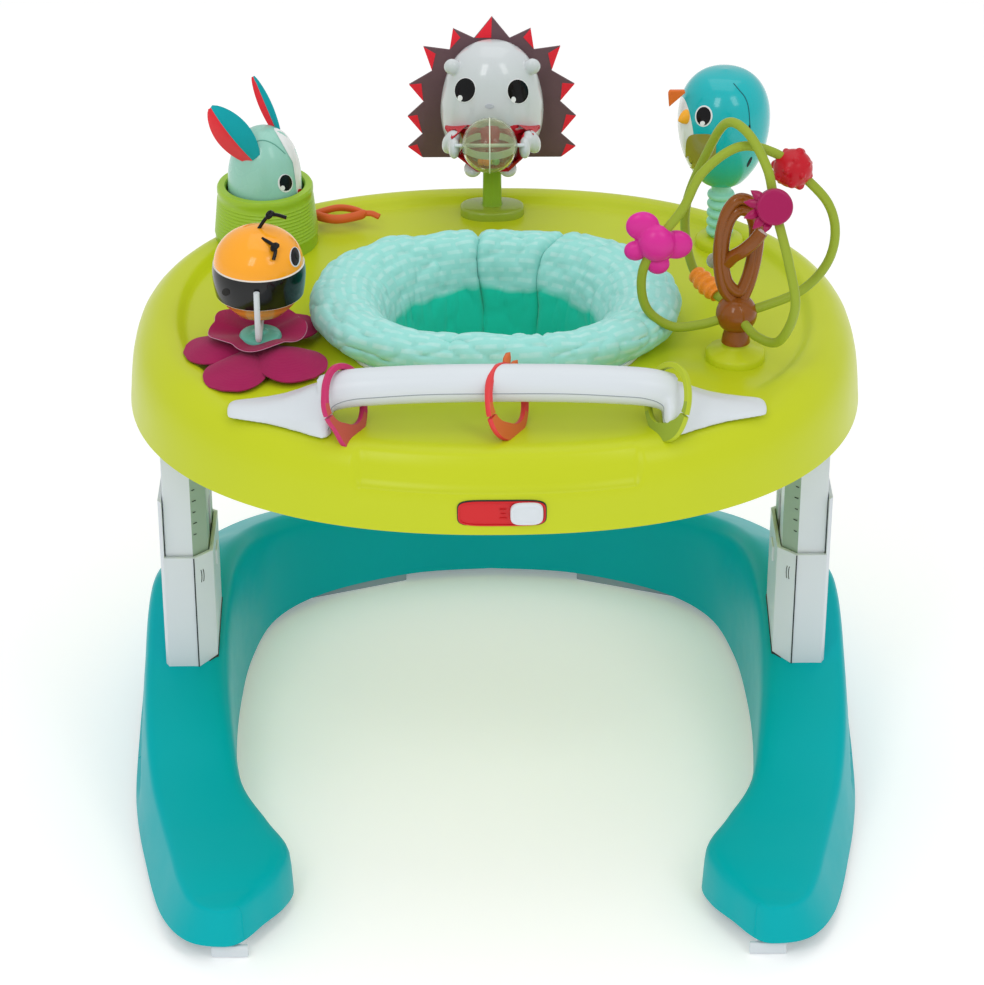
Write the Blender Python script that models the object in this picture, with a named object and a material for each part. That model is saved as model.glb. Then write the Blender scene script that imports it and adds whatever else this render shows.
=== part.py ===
"""Activity jumper: a horseshoe walker base, a height-adjustable toy tray, a turning seat and toys.

All sizes are in metres. X runs to the right, Y away from the push bar and Z up. The origin is on
the floor under the middle of the base. Pieces that move have their origin on their joint's axis.
"""
import math

import bmesh
import bpy
from mathutils import Matrix, Vector

# ---------------------------------------------------------------- driving dimensions
GAP = 0.0003            # clearance between pieces that touch
WALL = 0.003            # moulded wall of the tray
SIDES = (("left", -1), ("right", 1))

BASE_BOTTOM = 0.010     # the base clears the floor; wheels and pads carry it
BASE_WALL = 0.004
# The right arm of the horseshoe from its near tip to the far middle:
# outer edge, inner edge (x, y each) and height of the top
BASE_STATIONS = (
    ((0.262, -0.3570), (0.232, -0.3510), 0.046),
    ((0.285, -0.3400), (0.208, -0.3220), 0.057),
    ((0.301, -0.3100), (0.192, -0.2940), 0.060),
    ((0.313, -0.2700), (0.186, -0.2600), 0.062),
    ((0.323, -0.2250), (0.206, -0.2240), 0.066),
    ((0.333, -0.1750), (0.232, -0.1780), 0.078),
    ((0.341, -0.1150), (0.243, -0.1180), 0.104),
    ((0.345, -0.0350), (0.250, -0.0350), 0.128),
    ((0.346, 0.0450), (0.250, 0.0450), 0.146),
    ((0.338, 0.1350), (0.243, 0.1250), 0.142),
    ((0.308, 0.2300), (0.222, 0.1980), 0.121),
    ((0.245, 0.3050), (0.172, 0.2490), 0.106),
    ((0.140, 0.3460), (0.085, 0.2860), 0.098),
    ((0.000, 0.3570), (0.000, 0.2960), 0.096),
)
POCKETS_PER_ARM = 9    # ribbed hollows under each arm

PAD_ENDS = ((0.196, 0.259), (0.092, 0.296))
PAD_WIDTH = 0.016
PAD_HEIGHT = BASE_BOTTOM - GAP

WHEEL_R = 0.0205
WHEEL_WIDTH = 0.028
NEAR_WHEEL = (0.2440, -0.3300)
NEAR_WHEEL_R = 0.0155
CASTER = (0.2660, 0.2130)
CASTER_TRAIL = 0.012
AXLE_R = 0.0030
AXLE_CLEARANCE = 0.0003

# A post's plan on the right side: front, chamfered inner corner, rear
POST_PLAN = ((0.308, -0.062), (0.279, -0.062), (0.263, -0.047), (0.263, 0.026),
             (0.274, 0.034), (0.301, 0.034), (0.311, 0.024), (0.311, -0.058))
SLEEVE_BOTTOM = 0.060
SLEEVE_FRONT_TOP = 0.240
SLEEVE_WING_TOP = 0.300
SLEEVE_WALL = 0.0035
INNER_POST_BOTTOM = 0.1180      # clears the sleeve's floor with the tray at its lowest
TRAY_TRAVEL = 0.062             # half height of the channel that the button's latch runs in
INNER_POST_TOP = 0.4360
BUTTON_Z = 0.215

TRAY_TOP = 0.455
TRAY_LOW = 0.385
TRAY_HALF_X = 0.338
TRAY_HALF_Y = 0.2865
TRAY_CENTRE_Y = 0.020
TRAY_POWER = 2.25       # superellipse power of the outline
TRAY_COUNT = 44
SEAT_CENTRE_Y = -0.008
SEAT_HOLE_R = 0.136
FLOOR_PANEL_Z = 0.397   # lower panel that closes the tray

SLOT_Z = 0.404
SLOT_SIZE = (0.080, 0.024)
KNOB_SIZE = (0.030, 0.020)

BAR_R = 0.0165
BAR_Y = -0.195
BAR_Z = 0.4965
LINK_R = 0.0036
LINK_HALF = (0.0330, 0.0235)    # long and short half axes of a link
LINK_DROP = 0.0102               # how far a link hangs from the bar's middle
LINK_X = (-0.131, 0.008, 0.146)
LINK_NAMES = ("link_left", "link_centre", "link_right")

FLOWER = (-0.212, -0.063)
BEE = (-0.210, -0.048, 0.5300)
BEE_R = 0.0415
RABBIT = (-0.216, 0.174)
CUP_TOP = 0.512
HOG = (0.000, 0.246)
# Right half of the spiked panel behind the hedgehog, from its bottom to the top spike
SPINES = ((0.0670, 0.4975), (0.0815, 0.5090), (0.0670, 0.5225), (0.0815, 0.5410),
          (0.0657, 0.5563), (0.0797, 0.5742), (0.0573, 0.5880), (0.0655, 0.6133),
          (0.0403, 0.6097), (0.0370, 0.6315), (0.0170, 0.6215), (0.0000, 0.6435))
RATTLE = (-0.003, 0.1860, 0.5450)
RATTLE_R = 0.0255
RATTLE_WALL = 0.0016
PIN_R = 0.0019
PIN_HALF = 0.0330
BIRD = (0.216, 0.163)
BIRD_PIVOT = 0.505
MAZE = (0.214, -0.068, 0.4950)
MAZE_BALL_R = 0.0185
TUBE_R = 0.0040
BEAD_BORE = 0.0060

# The two bead tracks, from socket to socket of the ball that holds them
TRACK_A = ((0.203, -0.071, 0.492), (0.182, -0.072, 0.486), (0.156, -0.073, 0.485),
           (0.133, -0.075, 0.505), (0.129, -0.076, 0.540), (0.144, -0.076, 0.573),
           (0.163, -0.075, 0.601), (0.179, -0.073, 0.634), (0.210, -0.070, 0.657),
           (0.242, -0.068, 0.650), (0.266, -0.067, 0.629), (0.290, -0.067, 0.602),
           (0.298, -0.067, 0.572), (0.291, -0.067, 0.541), (0.268, -0.067, 0.515),
           (0.226, -0.069, 0.498))
TRACK_B = ((0.218, -0.080, 0.494), (0.230, -0.100, 0.488), (0.247, -0.124, 0.496),
           (0.258, -0.139, 0.535), (0.252, -0.130, 0.573), (0.240, -0.110, 0.616),
           (0.233, -0.097, 0.648), (0.217, -0.072, 0.671), (0.200, -0.047, 0.669),
           (0.185, -0.023, 0.627), (0.172, -0.002, 0.575), (0.172, -0.001, 0.537),
           (0.182, -0.018, 0.507), (0.208, -0.056, 0.498))
# bead name, track, its nearest point on the track, half length, radius, colour
BEADS = (
    ("bead_butterfly", TRACK_A, 5, 0.014, 0.0170, (0.70, 0.02, 0.30)),
    ("bead_berry", TRACK_A, 10, 0.014, 0.0165, (0.58, 0.01, 0.03)),
    ("bead_disc", TRACK_B, 5, 0.011, 0.0160, (0.43, 0.01, 0.10)),
    ("bead_carrot", TRACK_B, 12, 0.013, 0.0105, (0.95, 0.30, 0.02)),
)

TEAL = (0.000, 0.380, 0.400)
LIME = (0.550, 0.640, 0.030)
WHITE = (0.720, 0.740, 0.760)
MINT = (0.300, 0.750, 0.640)
GREEN = (0.300, 0.480, 0.040)
RED = (0.600, 0.010, 0.020)
ORANGE = (0.950, 0.360, 0.020)
BROWN = (0.250, 0.080, 0.010)
GREY = (0.350, 0.360, 0.370)
CLEAR = (0.800, 0.850, 0.700)
MAGENTA = (0.380, 0.010, 0.110)


# ---------------------------------------------------------------- tools
def material(name, colour, roughness=0.4):
    """A plain Principled material with the piece's own colour."""
    made = bpy.data.materials.new(name)
    made.use_nodes = True
    shader = made.node_tree.nodes["Principled BSDF"]
    shader.inputs["Base Color"].default_value = (*colour, 1.0)
    shader.inputs["Roughness"].default_value = roughness
    shader.inputs["Metallic"].default_value = 0.0
    return made


def piece(name, points, faces, colour, roughness=0.4, origin=(0.0, 0.0, 0.0)):
    """One closed solid from points in world space, with its origin where asked."""
    mesh = bpy.data.meshes.new(name)
    centre = Vector(origin)
    mesh.from_pydata([Vector(p) - centre for p in points], [], faces)
    form = bmesh.new()
    form.from_mesh(mesh)
    bmesh.ops.remove_doubles(form, verts=form.verts, dist=0.00001)
    bmesh.ops.recalc_face_normals(form, faces=form.faces)
    form.to_mesh(mesh)
    form.free()
    mesh.materials.append(material(name, colour, roughness))
    mesh.shade_smooth()
    mesh.set_sharp_from_angle(angle=math.radians(35))
    body = bpy.data.objects.new(name, mesh)
    body.location = centre
    bpy.context.scene.collection.objects.link(body)
    return body


def combine(body, operation, *tools):
    """Apply Boolean modifiers to a piece and remove the tools that cut or joined it."""
    for tool in tools:
        step = body.modifiers.new("step", "BOOLEAN")
        step.operation = operation
        step.object = tool
    bpy.context.view_layer.update()
    graph = bpy.context.evaluated_depsgraph_get()
    solid = bpy.data.meshes.new_from_object(body.evaluated_get(graph))
    body.modifiers.clear()
    body.data = solid
    for tool in tools:
        bpy.data.objects.remove(tool)
    return body


def cut(body, *tools):
    return combine(body, "DIFFERENCE", *tools)


def join(body, *tools):
    return combine(body, "UNION", *tools)


def skin(rings, closed=False):
    """Faces between rings of equal point count; the ends are capped unless the rings close."""
    count = len(rings[0])
    points = [p for ring in rings for p in ring]
    faces = []
    total = len(rings)
    for r in range(total if closed else total - 1):
        low = r * count
        high = (r + 1) % total * count
        for i in range(count):
            j = (i + 1) % count
            faces.append((low + i, low + j, high + j, high + i))
    if not closed:
        faces.append(tuple(range(count)))
        faces.append(tuple(range((total - 1) * count, total * count)))
    return points, faces


def prism(name, outline, low, high, colour, origin=(0.0, 0.0, 0.0)):
    """An outline in X and Y, extruded from one height to another."""
    rings = [[(x, y, z) for x, y in outline] for z in (low, high)]
    return piece(name, *skin(rings), colour, origin=origin)


def block(name, low, high, colour=GREY):
    outline = ((low[0], low[1]), (high[0], low[1]), (high[0], high[1]), (low[0], high[1]))
    return prism(name, outline, low[2], high[2], colour)


def turned(name, profile, centre, colour, axis="Z", sides=20, roughness=0.4, ring=False):
    """A profile of (radius, height) turned about an axis; a ring's profile closes on itself."""
    frames = {"Z": (0, 1, 2), "Y": (0, 2, 1), "X": (1, 2, 0)}
    order = frames[axis]
    rings = []
    for radius, height in profile:
        circle = []
        for i in range(sides):
            angle = 2 * math.pi * i / sides
            spot = [0.0, 0.0, 0.0]
            spot[order[0]] = max(radius, 0.000001) * math.cos(angle)
            spot[order[1]] = max(radius, 0.000001) * math.sin(angle)
            spot[order[2]] = height
            circle.append(Vector(spot) + Vector(centre))
        rings.append(circle)
    points, faces = skin(rings, closed=ring)
    return piece(name, points, faces, colour, roughness, origin=centre)


def ball_profile(radius, half_height, steps=10):
    """Half an ellipse, from the bottom pole to the top pole."""
    angles = [math.pi * (i / steps - 0.5) for i in range(steps + 1)]
    return [(radius * math.cos(a), half_height * math.sin(a)) for a in angles]


def smooth_path(points, per_span=3, closed=False):
    """A Catmull-Rom curve through hand-placed points."""
    spots = [Vector(p) for p in points]
    count = len(spots)
    path = []
    for i in range(count if closed else count - 1):
        if closed:
            a, b, c, d = (spots[(i + k) % count] for k in (-1, 0, 1, 2))
        else:
            a = spots[max(i - 1, 0)]
            b = spots[i]
            c = spots[i + 1]
            d = spots[min(i + 2, count - 1)]
        for k in range(per_span):
            t = k / per_span
            path.append(0.5 * (2 * b + (c - a) * t + (2 * a - 5 * b + 4 * c - d) * t ** 2
                               + (3 * b - a - 3 * c + d) * t ** 3))
    if not closed:
        path.append(spots[-1])
    return path


def swept(name, path, radius, colour, sides=8, closed=False, origin=(0.0, 0.0, 0.0), flat=1.0):
    """A round or flattened section carried along a path without twist."""
    spots = [Vector(p) for p in path]
    count = len(spots)
    tangents = []
    for i in range(count):
        ahead = spots[(i + 1) % count] if closed or i + 1 < count else spots[i]
        behind = spots[i - 1] if closed or i > 0 else spots[i]
        tangents.append((ahead - behind).normalized())
    side = tangents[0].orthogonal().normalized()
    rings = []
    for spot, tangent in zip(spots, tangents):
        side = (side - tangent * side.dot(tangent)).normalized()
        up = tangent.cross(side)
        rings.append([spot + side * (radius * math.cos(a)) + up * (radius * flat * math.sin(a))
                      for a in (2 * math.pi * (k + 0.5) / sides for k in range(sides))])
    points, faces = skin(rings, closed)
    return piece(name, points, faces, colour, origin=origin)


def rounded_outline(half_x, half_y, power, count, centre=(0.0, 0.0)):
    """A superellipse, counted from +X towards +Y."""
    outline = []
    for i in range(count):
        angle = 2 * math.pi * i / count
        c = math.cos(angle)
        s = math.sin(angle)
        reach = (abs(c) ** power + abs(s) ** power) ** (-1 / power)
        outline.append((centre[0] + half_x * reach * c, centre[1] + half_y * reach * s))
    return outline


def shrink(plan, amount):
    """Move every edge of a convex plan inwards by the amount."""
    middle = sum((Vector(p) for p in plan), Vector((0.0, 0.0))) / len(plan)
    lines = []
    for i, p in enumerate(plan):
        start = Vector(p)
        along = (Vector(plan[(i + 1) % len(plan)]) - start).normalized()
        inward = Vector((-along.y, along.x))
        if inward.dot(middle - start) < 0:
            inward.negate()
        lines.append((start + inward * amount, along))
    moved = []
    for i, (spot, along) in enumerate(lines):
        before, heading = lines[i - 1]
        share = (spot - before).cross(along) / heading.cross(along)
        moved.append(tuple(before + heading * share))
    return moved


def mirrored(plan, side):
    return [(x * side, y) for x, y in plan]


# ---------------------------------------------------------------- base
def base_half():
    """Smooth stations along the right arm, from the near tip to the far middle."""
    rows = [Vector((*edge, 0.0)) for edge, _, _ in BASE_STATIONS]
    outer = smooth_path(rows, 2)
    inner = smooth_path([Vector((*edge, 0.0)) for _, edge, _ in BASE_STATIONS], 2)
    tops = smooth_path([Vector((top, 0.0, 0.0)) for _, _, top in BASE_STATIONS], 2)
    return [(a.xy, b.xy, t.x) for a, b, t in zip(outer, inner, tops)]


def base_section(outer, inner, top, inset=0.0, low=BASE_BOTTOM):
    """Cross-section: sloped outer wall, rounded shoulders, steep inner wall, and at the far
    side a top that falls away outwards."""
    across = inner - outer
    width = across.length
    fall = min(max((outer.y - 0.06) / 0.14, 0.0), 1.0)
    shape = ((0.0, 0.0), (0.03, 0.45 - 0.03 * fall), (0.09, 0.84 - 0.16 * fall),
             (0.19, 1.0 - 0.26 * fall), (0.50, 1.0 - 0.12 * fall), (0.85, 1.0), (0.95, 0.93),
             (0.99, 0.72), (1.0, 0.0))
    section = []
    for share, lift in shape:
        place = inset / width + share * (1 - 2 * inset / width)
        spot = outer + across * place
        section.append((spot.x, spot.y, low + lift * (top - inset - low)))
    return section


def make_base():
    half = base_half()
    whole = [(Vector((-a.x, a.y)), Vector((-b.x, b.y)), t) for a, b, t in half]
    stations = whole + half[-2::-1]
    rings = [base_section(*row) for row in stations]
    body = piece("base_frame", *skin(rings), TEAL, 0.35)

    last = len(stations) - 1
    pockets = 2 * POCKETS_PER_ARM
    tools = []
    for k in range(pockets):
        first = 0.9 + (last - 1.8) * k / pockets
        end = 0.9 + (last - 1.8) * (k + 1) / pockets
        rows = []
        for share in (0.03, 0.5, 0.97):
            place = first + (end - first) * share
            i = min(int(place), last - 1)
            t = place - i
            row = [stations[i][n] * (1 - t) + stations[i + 1][n] * t for n in range(3)]
            rows.append(base_section(*row, inset=BASE_WALL, low=BASE_BOTTOM - 0.005))
        tools.append(piece("pocket", *skin(rows), GREY))
    for _, side in SIDES:
        tools.append(prism("socket", mirrored(shrink(POST_PLAN, -GAP), side),
                           SLEEVE_BOTTOM - GAP, 0.2, GREY))
        x, y = NEAR_WHEEL
        tools.append(turned("well", [(0.0, -0.0190), (NEAR_WHEEL_R + 0.002, -0.0190),
                                     (NEAR_WHEEL_R + 0.002, 0.0190), (0.0, 0.0190)],
                            (side * x, y, NEAR_WHEEL_R), GREY, axis="X", sides=16))
        x, y = CASTER
        tools.append(turned("well", [(0.0, -0.001), (0.038, -0.001), (0.038, 0.0620),
                                     (0.0, 0.0620)], (side * x, y, 0.0), GREY, sides=20))
    cut(body, *tools)
    return body


def make_pads():
    """Friction strips under the far inner wall, which stop the base from rolling when used as a stand."""
    near = Vector(PAD_ENDS[0])
    far = Vector(PAD_ENDS[1])
    along = (far - near).normalized()
    across = Vector((along.y, -along.x)) * PAD_WIDTH / 2
    plan = [near + across, far + across, far - across, near - across]
    for word, side in SIDES:
        prism("friction_pad_" + word, mirrored(plan, side), 0.0, PAD_HEIGHT, GREY)


def wheel(name, centre, radius):
    """A moulded wheel with a bore for its axle."""
    half = WHEEL_WIDTH / 2
    bore = AXLE_R + AXLE_CLEARANCE
    profile = [(bore, -half), (radius - 0.003, -half), (radius, -half + 0.003),
               (radius, half - 0.003), (radius - 0.003, half), (bore, half)]
    return turned(name, profile, centre, WHITE, axis="X", sides=20, ring=True)


def axle(name, centre, half):
    return turned(name, [(0.0, -half), (AXLE_R, -half), (AXLE_R, half), (0.0, half)], centre,
                  GREY, axis="X", sides=8)


def make_wheels():
    for word, side in SIDES:
        x, y = NEAR_WHEEL
        wheel("near_wheel_" + word, (side * x, y, NEAR_WHEEL_R), NEAR_WHEEL_R)
        axle("near_axle_" + word, (side * x, y, NEAR_WHEEL_R), 0.0187)
        x, y = CASTER
        centre = (side * x, y - CASTER_TRAIL, WHEEL_R)
        wheel("caster_wheel_" + word, centre, WHEEL_R)
        axle("caster_axle_" + word, centre, 0.0165)
        make_fork(word, side, centre)


def make_fork(word, side, centre):
    """Swivel housing of a far caster: a cap over two cheeks that carry the axle."""
    x, y = CASTER
    fork = turned("caster_fork_" + word, [(0.0, 0.0450), (0.0360, 0.0450), (0.0360, 0.0500),
                                          (0.0120, 0.0540), (0.0080, 0.0615), (0.0, 0.0615)],
                  (side * x, y, 0.0), GREY, sides=16)
    for edge in (-1, 1):
        inner = side * x + edge * (WHEEL_WIDTH / 2 + 0.0008)
        outer = side * x + edge * 0.0200
        lows = (min(inner, outer), y - CASTER_TRAIL - 0.010, WHEEL_R - 0.008)
        highs = (max(inner, outer), y - CASTER_TRAIL + 0.016, 0.0475)
        join(fork, block("cheek", lows, highs))
    bore = AXLE_R + GAP
    cut(fork, turned("bore", [(0.0, -0.05), (bore, -0.05), (bore, 0.05), (0.0, 0.05)], centre,
                     GREY, axis="X", sides=8))



# ---------------------------------------------------------------- posts
def make_posts():
    for word, side in SIDES:
        outer = mirrored(POST_PLAN, side)
        inner = mirrored(shrink(POST_PLAN, SLEEVE_WALL), side)
        lower = prism("lower_post_" + word, outer, SLEEVE_BOTTOM, SLEEVE_WING_TOP, WHITE)
        hollow = prism("hollow", inner, SLEEVE_BOTTOM + 0.004, 0.4, GREY)
        front = block("front", (min(side * 0.20, side * 0.3072), -0.08, SLEEVE_FRONT_TOP),
                      (max(side * 0.20, side * 0.3072), 0.05, 0.4))
        hole_x = side * 0.263
        hole = block("hole", (min(hole_x, side * 0.29) - 0.004, -0.0185, BUTTON_Z - 0.0085),
                     (max(hole_x, side * 0.29) + 0.004, 0.0015, BUTTON_Z + 0.0085))
        cut(lower, hollow, front, hole)

        outline = mirrored(shrink(POST_PLAN, SLEEVE_WALL + 0.0010), side)
        bore = mirrored(shrink(POST_PLAN, SLEEVE_WALL + 0.0040), side)
        rings = [[(x, y, z) for x, y in plan] for plan, z in (
            (outline, INNER_POST_BOTTOM), (outline, INNER_POST_TOP),
            (bore, INNER_POST_TOP), (bore, INNER_POST_BOTTOM))]
        upper = piece("upper_post_" + word, *skin(rings, closed=True), WHITE)
        near = side * 0.2600
        deep = side * 0.2720
        cut(upper, block("channel", (min(near, deep), -0.0200, BUTTON_Z - TRAY_TRAVEL),
                         (max(near, deep), 0.0030, BUTTON_Z + TRAY_TRAVEL)))

        face = side * 0.2615
        depth = side * 0.2665
        block("height_button_" + word, (min(face, depth), -0.0180, BUTTON_Z - 0.008),
              (max(face, depth), 0.0010, BUTTON_Z + 0.008), WHITE)


# ---------------------------------------------------------------- tray
def tray_ring(inset, height):
    """The tray's outline, moved in from its lowest edge and lifted."""
    outline = rounded_outline(TRAY_HALF_X - inset, TRAY_HALF_Y - inset, TRAY_POWER, TRAY_COUNT,
                              (0.0, TRAY_CENTRE_Y))
    return [(x, y, height) for x, y in outline]


def hole_ring(radius, height):
    return [(radius * math.cos(2 * math.pi * i / TRAY_COUNT),
             SEAT_CENTRE_Y + radius * math.sin(2 * math.pi * i / TRAY_COUNT), height)
            for i in range(TRAY_COUNT)]


def make_tray():
    rings = [tray_ring(0.0, TRAY_LOW), tray_ring(0.003, 0.418), tray_ring(0.008, 0.441),
             tray_ring(0.016, 0.4515), tray_ring(0.027, TRAY_TOP),
             hole_ring(SEAT_HOLE_R, TRAY_TOP), hole_ring(SEAT_HOLE_R, 0.435),
             hole_ring(SEAT_HOLE_R + WALL, 0.435), hole_ring(SEAT_HOLE_R + WALL, TRAY_TOP - WALL),
             tray_ring(0.027, TRAY_TOP - WALL), tray_ring(0.018, 0.4480),
             tray_ring(0.0105, 0.4390), tray_ring(0.006, 0.417), tray_ring(0.003, TRAY_LOW)]
    top = piece("tray_top", *skin(rings, closed=True), LIME, 0.3)
    half_x = SLOT_SIZE[0] / 2 + 0.0005
    half_z = SLOT_SIZE[1] / 2 + 0.0005
    cut(top, block("slot", (-half_x, -0.30, SLOT_Z - half_z), (half_x, -0.22, SLOT_Z + half_z)))

    rings = [tray_ring(0.0070, FLOOR_PANEL_Z), tray_ring(0.0070, FLOOR_PANEL_Z + 0.003),
             hole_ring(SEAT_HOLE_R + 0.012, FLOOR_PANEL_Z + 0.003),
             hole_ring(SEAT_HOLE_R + 0.012, FLOOR_PANEL_Z)]
    panel = piece("tray_bottom", *skin(rings, closed=True), LIME, 0.4)
    openings = [prism("opening", mirrored(shrink(POST_PLAN, SLEEVE_WALL + 0.0006),
                                          side), 0.3, 0.43, GREY) for _, side in SIDES]
    openings.append(block("opening", (-0.044, -0.28, 0.39), (0.044, -0.2490, 0.43)))
    cut(panel, *openings)


def make_slider():
    """Mode switch in the front skirt: a plate in the slot and a knob that slides along it."""
    half_x = SLOT_SIZE[0] / 2
    half_z = SLOT_SIZE[1] / 2
    plan = rounded_outline(half_x, half_z, 5.0, 24, (0.0, SLOT_Z))
    rings = [[(x, y, z) for x, z in plan] for y in (-0.2665, -0.2600)]
    piece("slider_plate", *skin(rings), RED)
    x = half_x - KNOB_SIZE[0] / 2 - 0.002
    plan = rounded_outline(KNOB_SIZE[0] / 2, KNOB_SIZE[1] / 2, 4.0, 20, (x, SLOT_Z))
    rings = [[(u, y, z) for u, z in plan] for y in (-0.2710, -0.2668)]
    piece("mode_slider", *skin(rings), WHITE, origin=(x, -0.269, SLOT_Z))


def bar_path():
    """The push bar's centre line: up from one wing, across with a slight arch, and down again."""
    right = ((0.0, BAR_Y, BAR_Z), (0.100, BAR_Y, BAR_Z), (0.150, BAR_Y, BAR_Z - 0.001),
             (0.166, -0.190, 0.4890), (0.184, -0.181, 0.4700))
    run = [(-x, y, z) for x, y, z in right[:0:-1]] + list(right)
    return smooth_path(run, 2)


def make_push_bar():
    """Two moulded halves: the lower one ends in flat wings on the tray."""
    bar = swept("push_bar_lower", bar_path(), BAR_R, WHITE, sides=14)
    upper = swept("push_bar_upper", bar_path(), BAR_R, WHITE, sides=14)
    seam_low = block("seam", (-0.3, -0.3, BAR_Z + 0.0001), (0.3, -0.1, 0.6))
    seam_high = block("seam", (-0.3, -0.3, 0.40), (0.3, -0.1, BAR_Z + 0.0004))
    cut(bar, seam_low)
    cut(upper, seam_high)
    floor = TRAY_TOP + GAP
    for _, side in SIDES:
        plan = mirrored(((0.236, -0.166), (0.168, -0.108), (0.156, -0.160), (0.158, -0.216)), side)
        rings = []
        for height, share in ((floor, 0.0), (0.461, 0.02), (0.470, 0.45)):
            centre = Vector((side * 0.172, -0.172))
            rings.append([(*Vector(p).lerp(centre, share), height) for p in plan])
        join(bar, piece("wing", *skin(rings), WHITE))
    cut(bar, block("under", (-0.3, -0.3, 0.40), (0.3, -0.05, floor)))


def make_links():
    """Open split rings that hang over the bar and rest on the tray in front of it."""
    lean = math.radians(50)
    along = Vector((0.0, -math.cos(lean), -math.sin(lean)))
    across = Vector((0.0, -math.sin(lean), math.cos(lean)))
    for name, x, colour in zip(LINK_NAMES, LINK_X, (MAGENTA, RED, GREEN)):
        centre = Vector((x, BAR_Y, BAR_Z)) + along * LINK_DROP
        path = []
        for k in range(17):
            angle = math.radians(-164 + 328 * k / 16)
            path.append(centre + along * (LINK_HALF[0] * math.cos(angle))
                        + across * (LINK_HALF[1] * math.sin(angle)))
        swept(name, path, LINK_R, colour, sides=6, origin=(x, BAR_Y, BAR_Z))


# ---------------------------------------------------------------- seat
def make_seat():
    centre = (0.0, SEAT_CENTRE_Y, TRAY_TOP)
    profile = [(0.1270, -0.030), (0.1350, -0.030), (0.1350, 0.0004), (0.1450, 0.0004),
               (0.1450, 0.0040), (0.1270, 0.0040)]
    turned("seat_ring", profile, centre, WHITE, sides=32, ring=True)

    def oval(rx, ry, z):
        return [(x, y, z) for x, y in rounded_outline(rx, ry, 2.0, 28, (0.0, SEAT_CENTRE_Y))]

    rings = [oval(0.1235, 0.1235, 0.4600), oval(0.154, 0.128, 0.4600), oval(0.160, 0.132, 0.4720),
             oval(0.150, 0.124, 0.4900), oval(0.122, 0.106, 0.4960), oval(0.096, 0.088, 0.4880),
             oval(0.090, 0.082, 0.440), oval(0.088, 0.080, 0.340), oval(0.078, 0.068, 0.292),
             oval(0.020, 0.018, 0.284), oval(0.020, 0.018, 0.276), oval(0.084, 0.074, 0.280),
             oval(0.098, 0.090, 0.335), oval(0.110, 0.110, 0.430)]
    points, faces = skin(rings[:10])
    faces.pop(-2)
    outer_points, outer_faces = skin([rings[0]] + rings[:9:-1])
    outer_faces.pop(-2)
    offset = len(points)
    points += outer_points
    faces += [tuple(i + offset for i in face) for face in outer_faces]
    fabric = piece("seat_fabric", points, faces, MINT, 0.9,
                   origin=(0.0, SEAT_CENTRE_Y, TRAY_TOP))
    tools = []
    for _, side in SIDES:
        profile = [(0.0, -0.10), (0.034, -0.10), (0.034, 0.020), (0.0, 0.020)]
        tools.append(turned("leg", profile, (side * 0.046, SEAT_CENTRE_Y - 0.040, 0.3300), GREY,
                            sides=14))
    cut(fabric, *tools)


# ---------------------------------------------------------------- toys
def make_bee():
    x, y, z = BEE
    floor = TRAY_TOP + GAP
    plan = []
    for i in range(50):
        angle = 2 * math.pi * i / 50
        reach = 0.042 + 0.021 * abs(math.cos(2.5 * (angle - math.pi)))
        plan.append((FLOWER[0] + reach * math.cos(angle), FLOWER[1] + reach * math.sin(angle)))
    petals = prism("flower_petals", plan, floor, 0.4640, MAGENTA)
    cut(petals, turned("hole", [(0.0, -0.02), (0.0095, -0.02), (0.0095, 0.02), (0.0, 0.02)],
                       (x, y - 0.010, 0.46), GREY, sides=20))

    turned("bee_stand", [(0.0, floor), (0.009, floor), (0.009, 0.4680), (0.0195, 0.4715),
                                 (0.0185, 0.4770), (0.0070, 0.4800), (0.0070, 0.4835),
                                 (0.0, 0.4835)], (x, y - 0.010, 0.0), MINT, sides=24)
    arm = BEE_R + 0.0035
    run = [(x, y - arm, z), (x, y - arm, 0.4850), (x, y + arm, 0.4850), (x, y + arm, z)]
    path = [run[0], (x, y - arm, 0.500), (x, y - arm + 0.004, 0.487), (x, y - 0.020, 0.4840),
            (x, y + 0.020, 0.4840), (x, y + arm - 0.004, 0.487), (x, y + arm, 0.500), run[3]]
    yoke = swept("bee_yoke", smooth_path(path, 2), 0.0026, WHITE, sides=8)
    cut(yoke, turned("clear", [(0.0, 0.0), (0.0075, 0.0), (0.0075, 0.4838), (0.0, 0.4838)],
                     (x, y - 0.010, 0.0), GREY, sides=20))
    cut(yoke, turned("clear", ball_profile(BEE_R + 0.0008, BEE_R + 0.0008, 16), BEE, GREY,
                     sides=16))
    half = arm - 0.0030
    turned("bee_axle", [(0.0, -half), (0.0022, -half), (0.0022, half), (0.0, half)], BEE, GREY,
           axis="Y", sides=12)
    ball = turned("bee_body", ball_profile(BEE_R, BEE_R), BEE, ORANGE, axis="Y", sides=28)
    bore = 0.0022 + GAP
    cut(ball, turned("bore", [(0.0, -0.1), (bore, -0.1), (bore, 0.1), (0.0, 0.1)], BEE, GREY,
                     axis="Y", sides=12))


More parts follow.
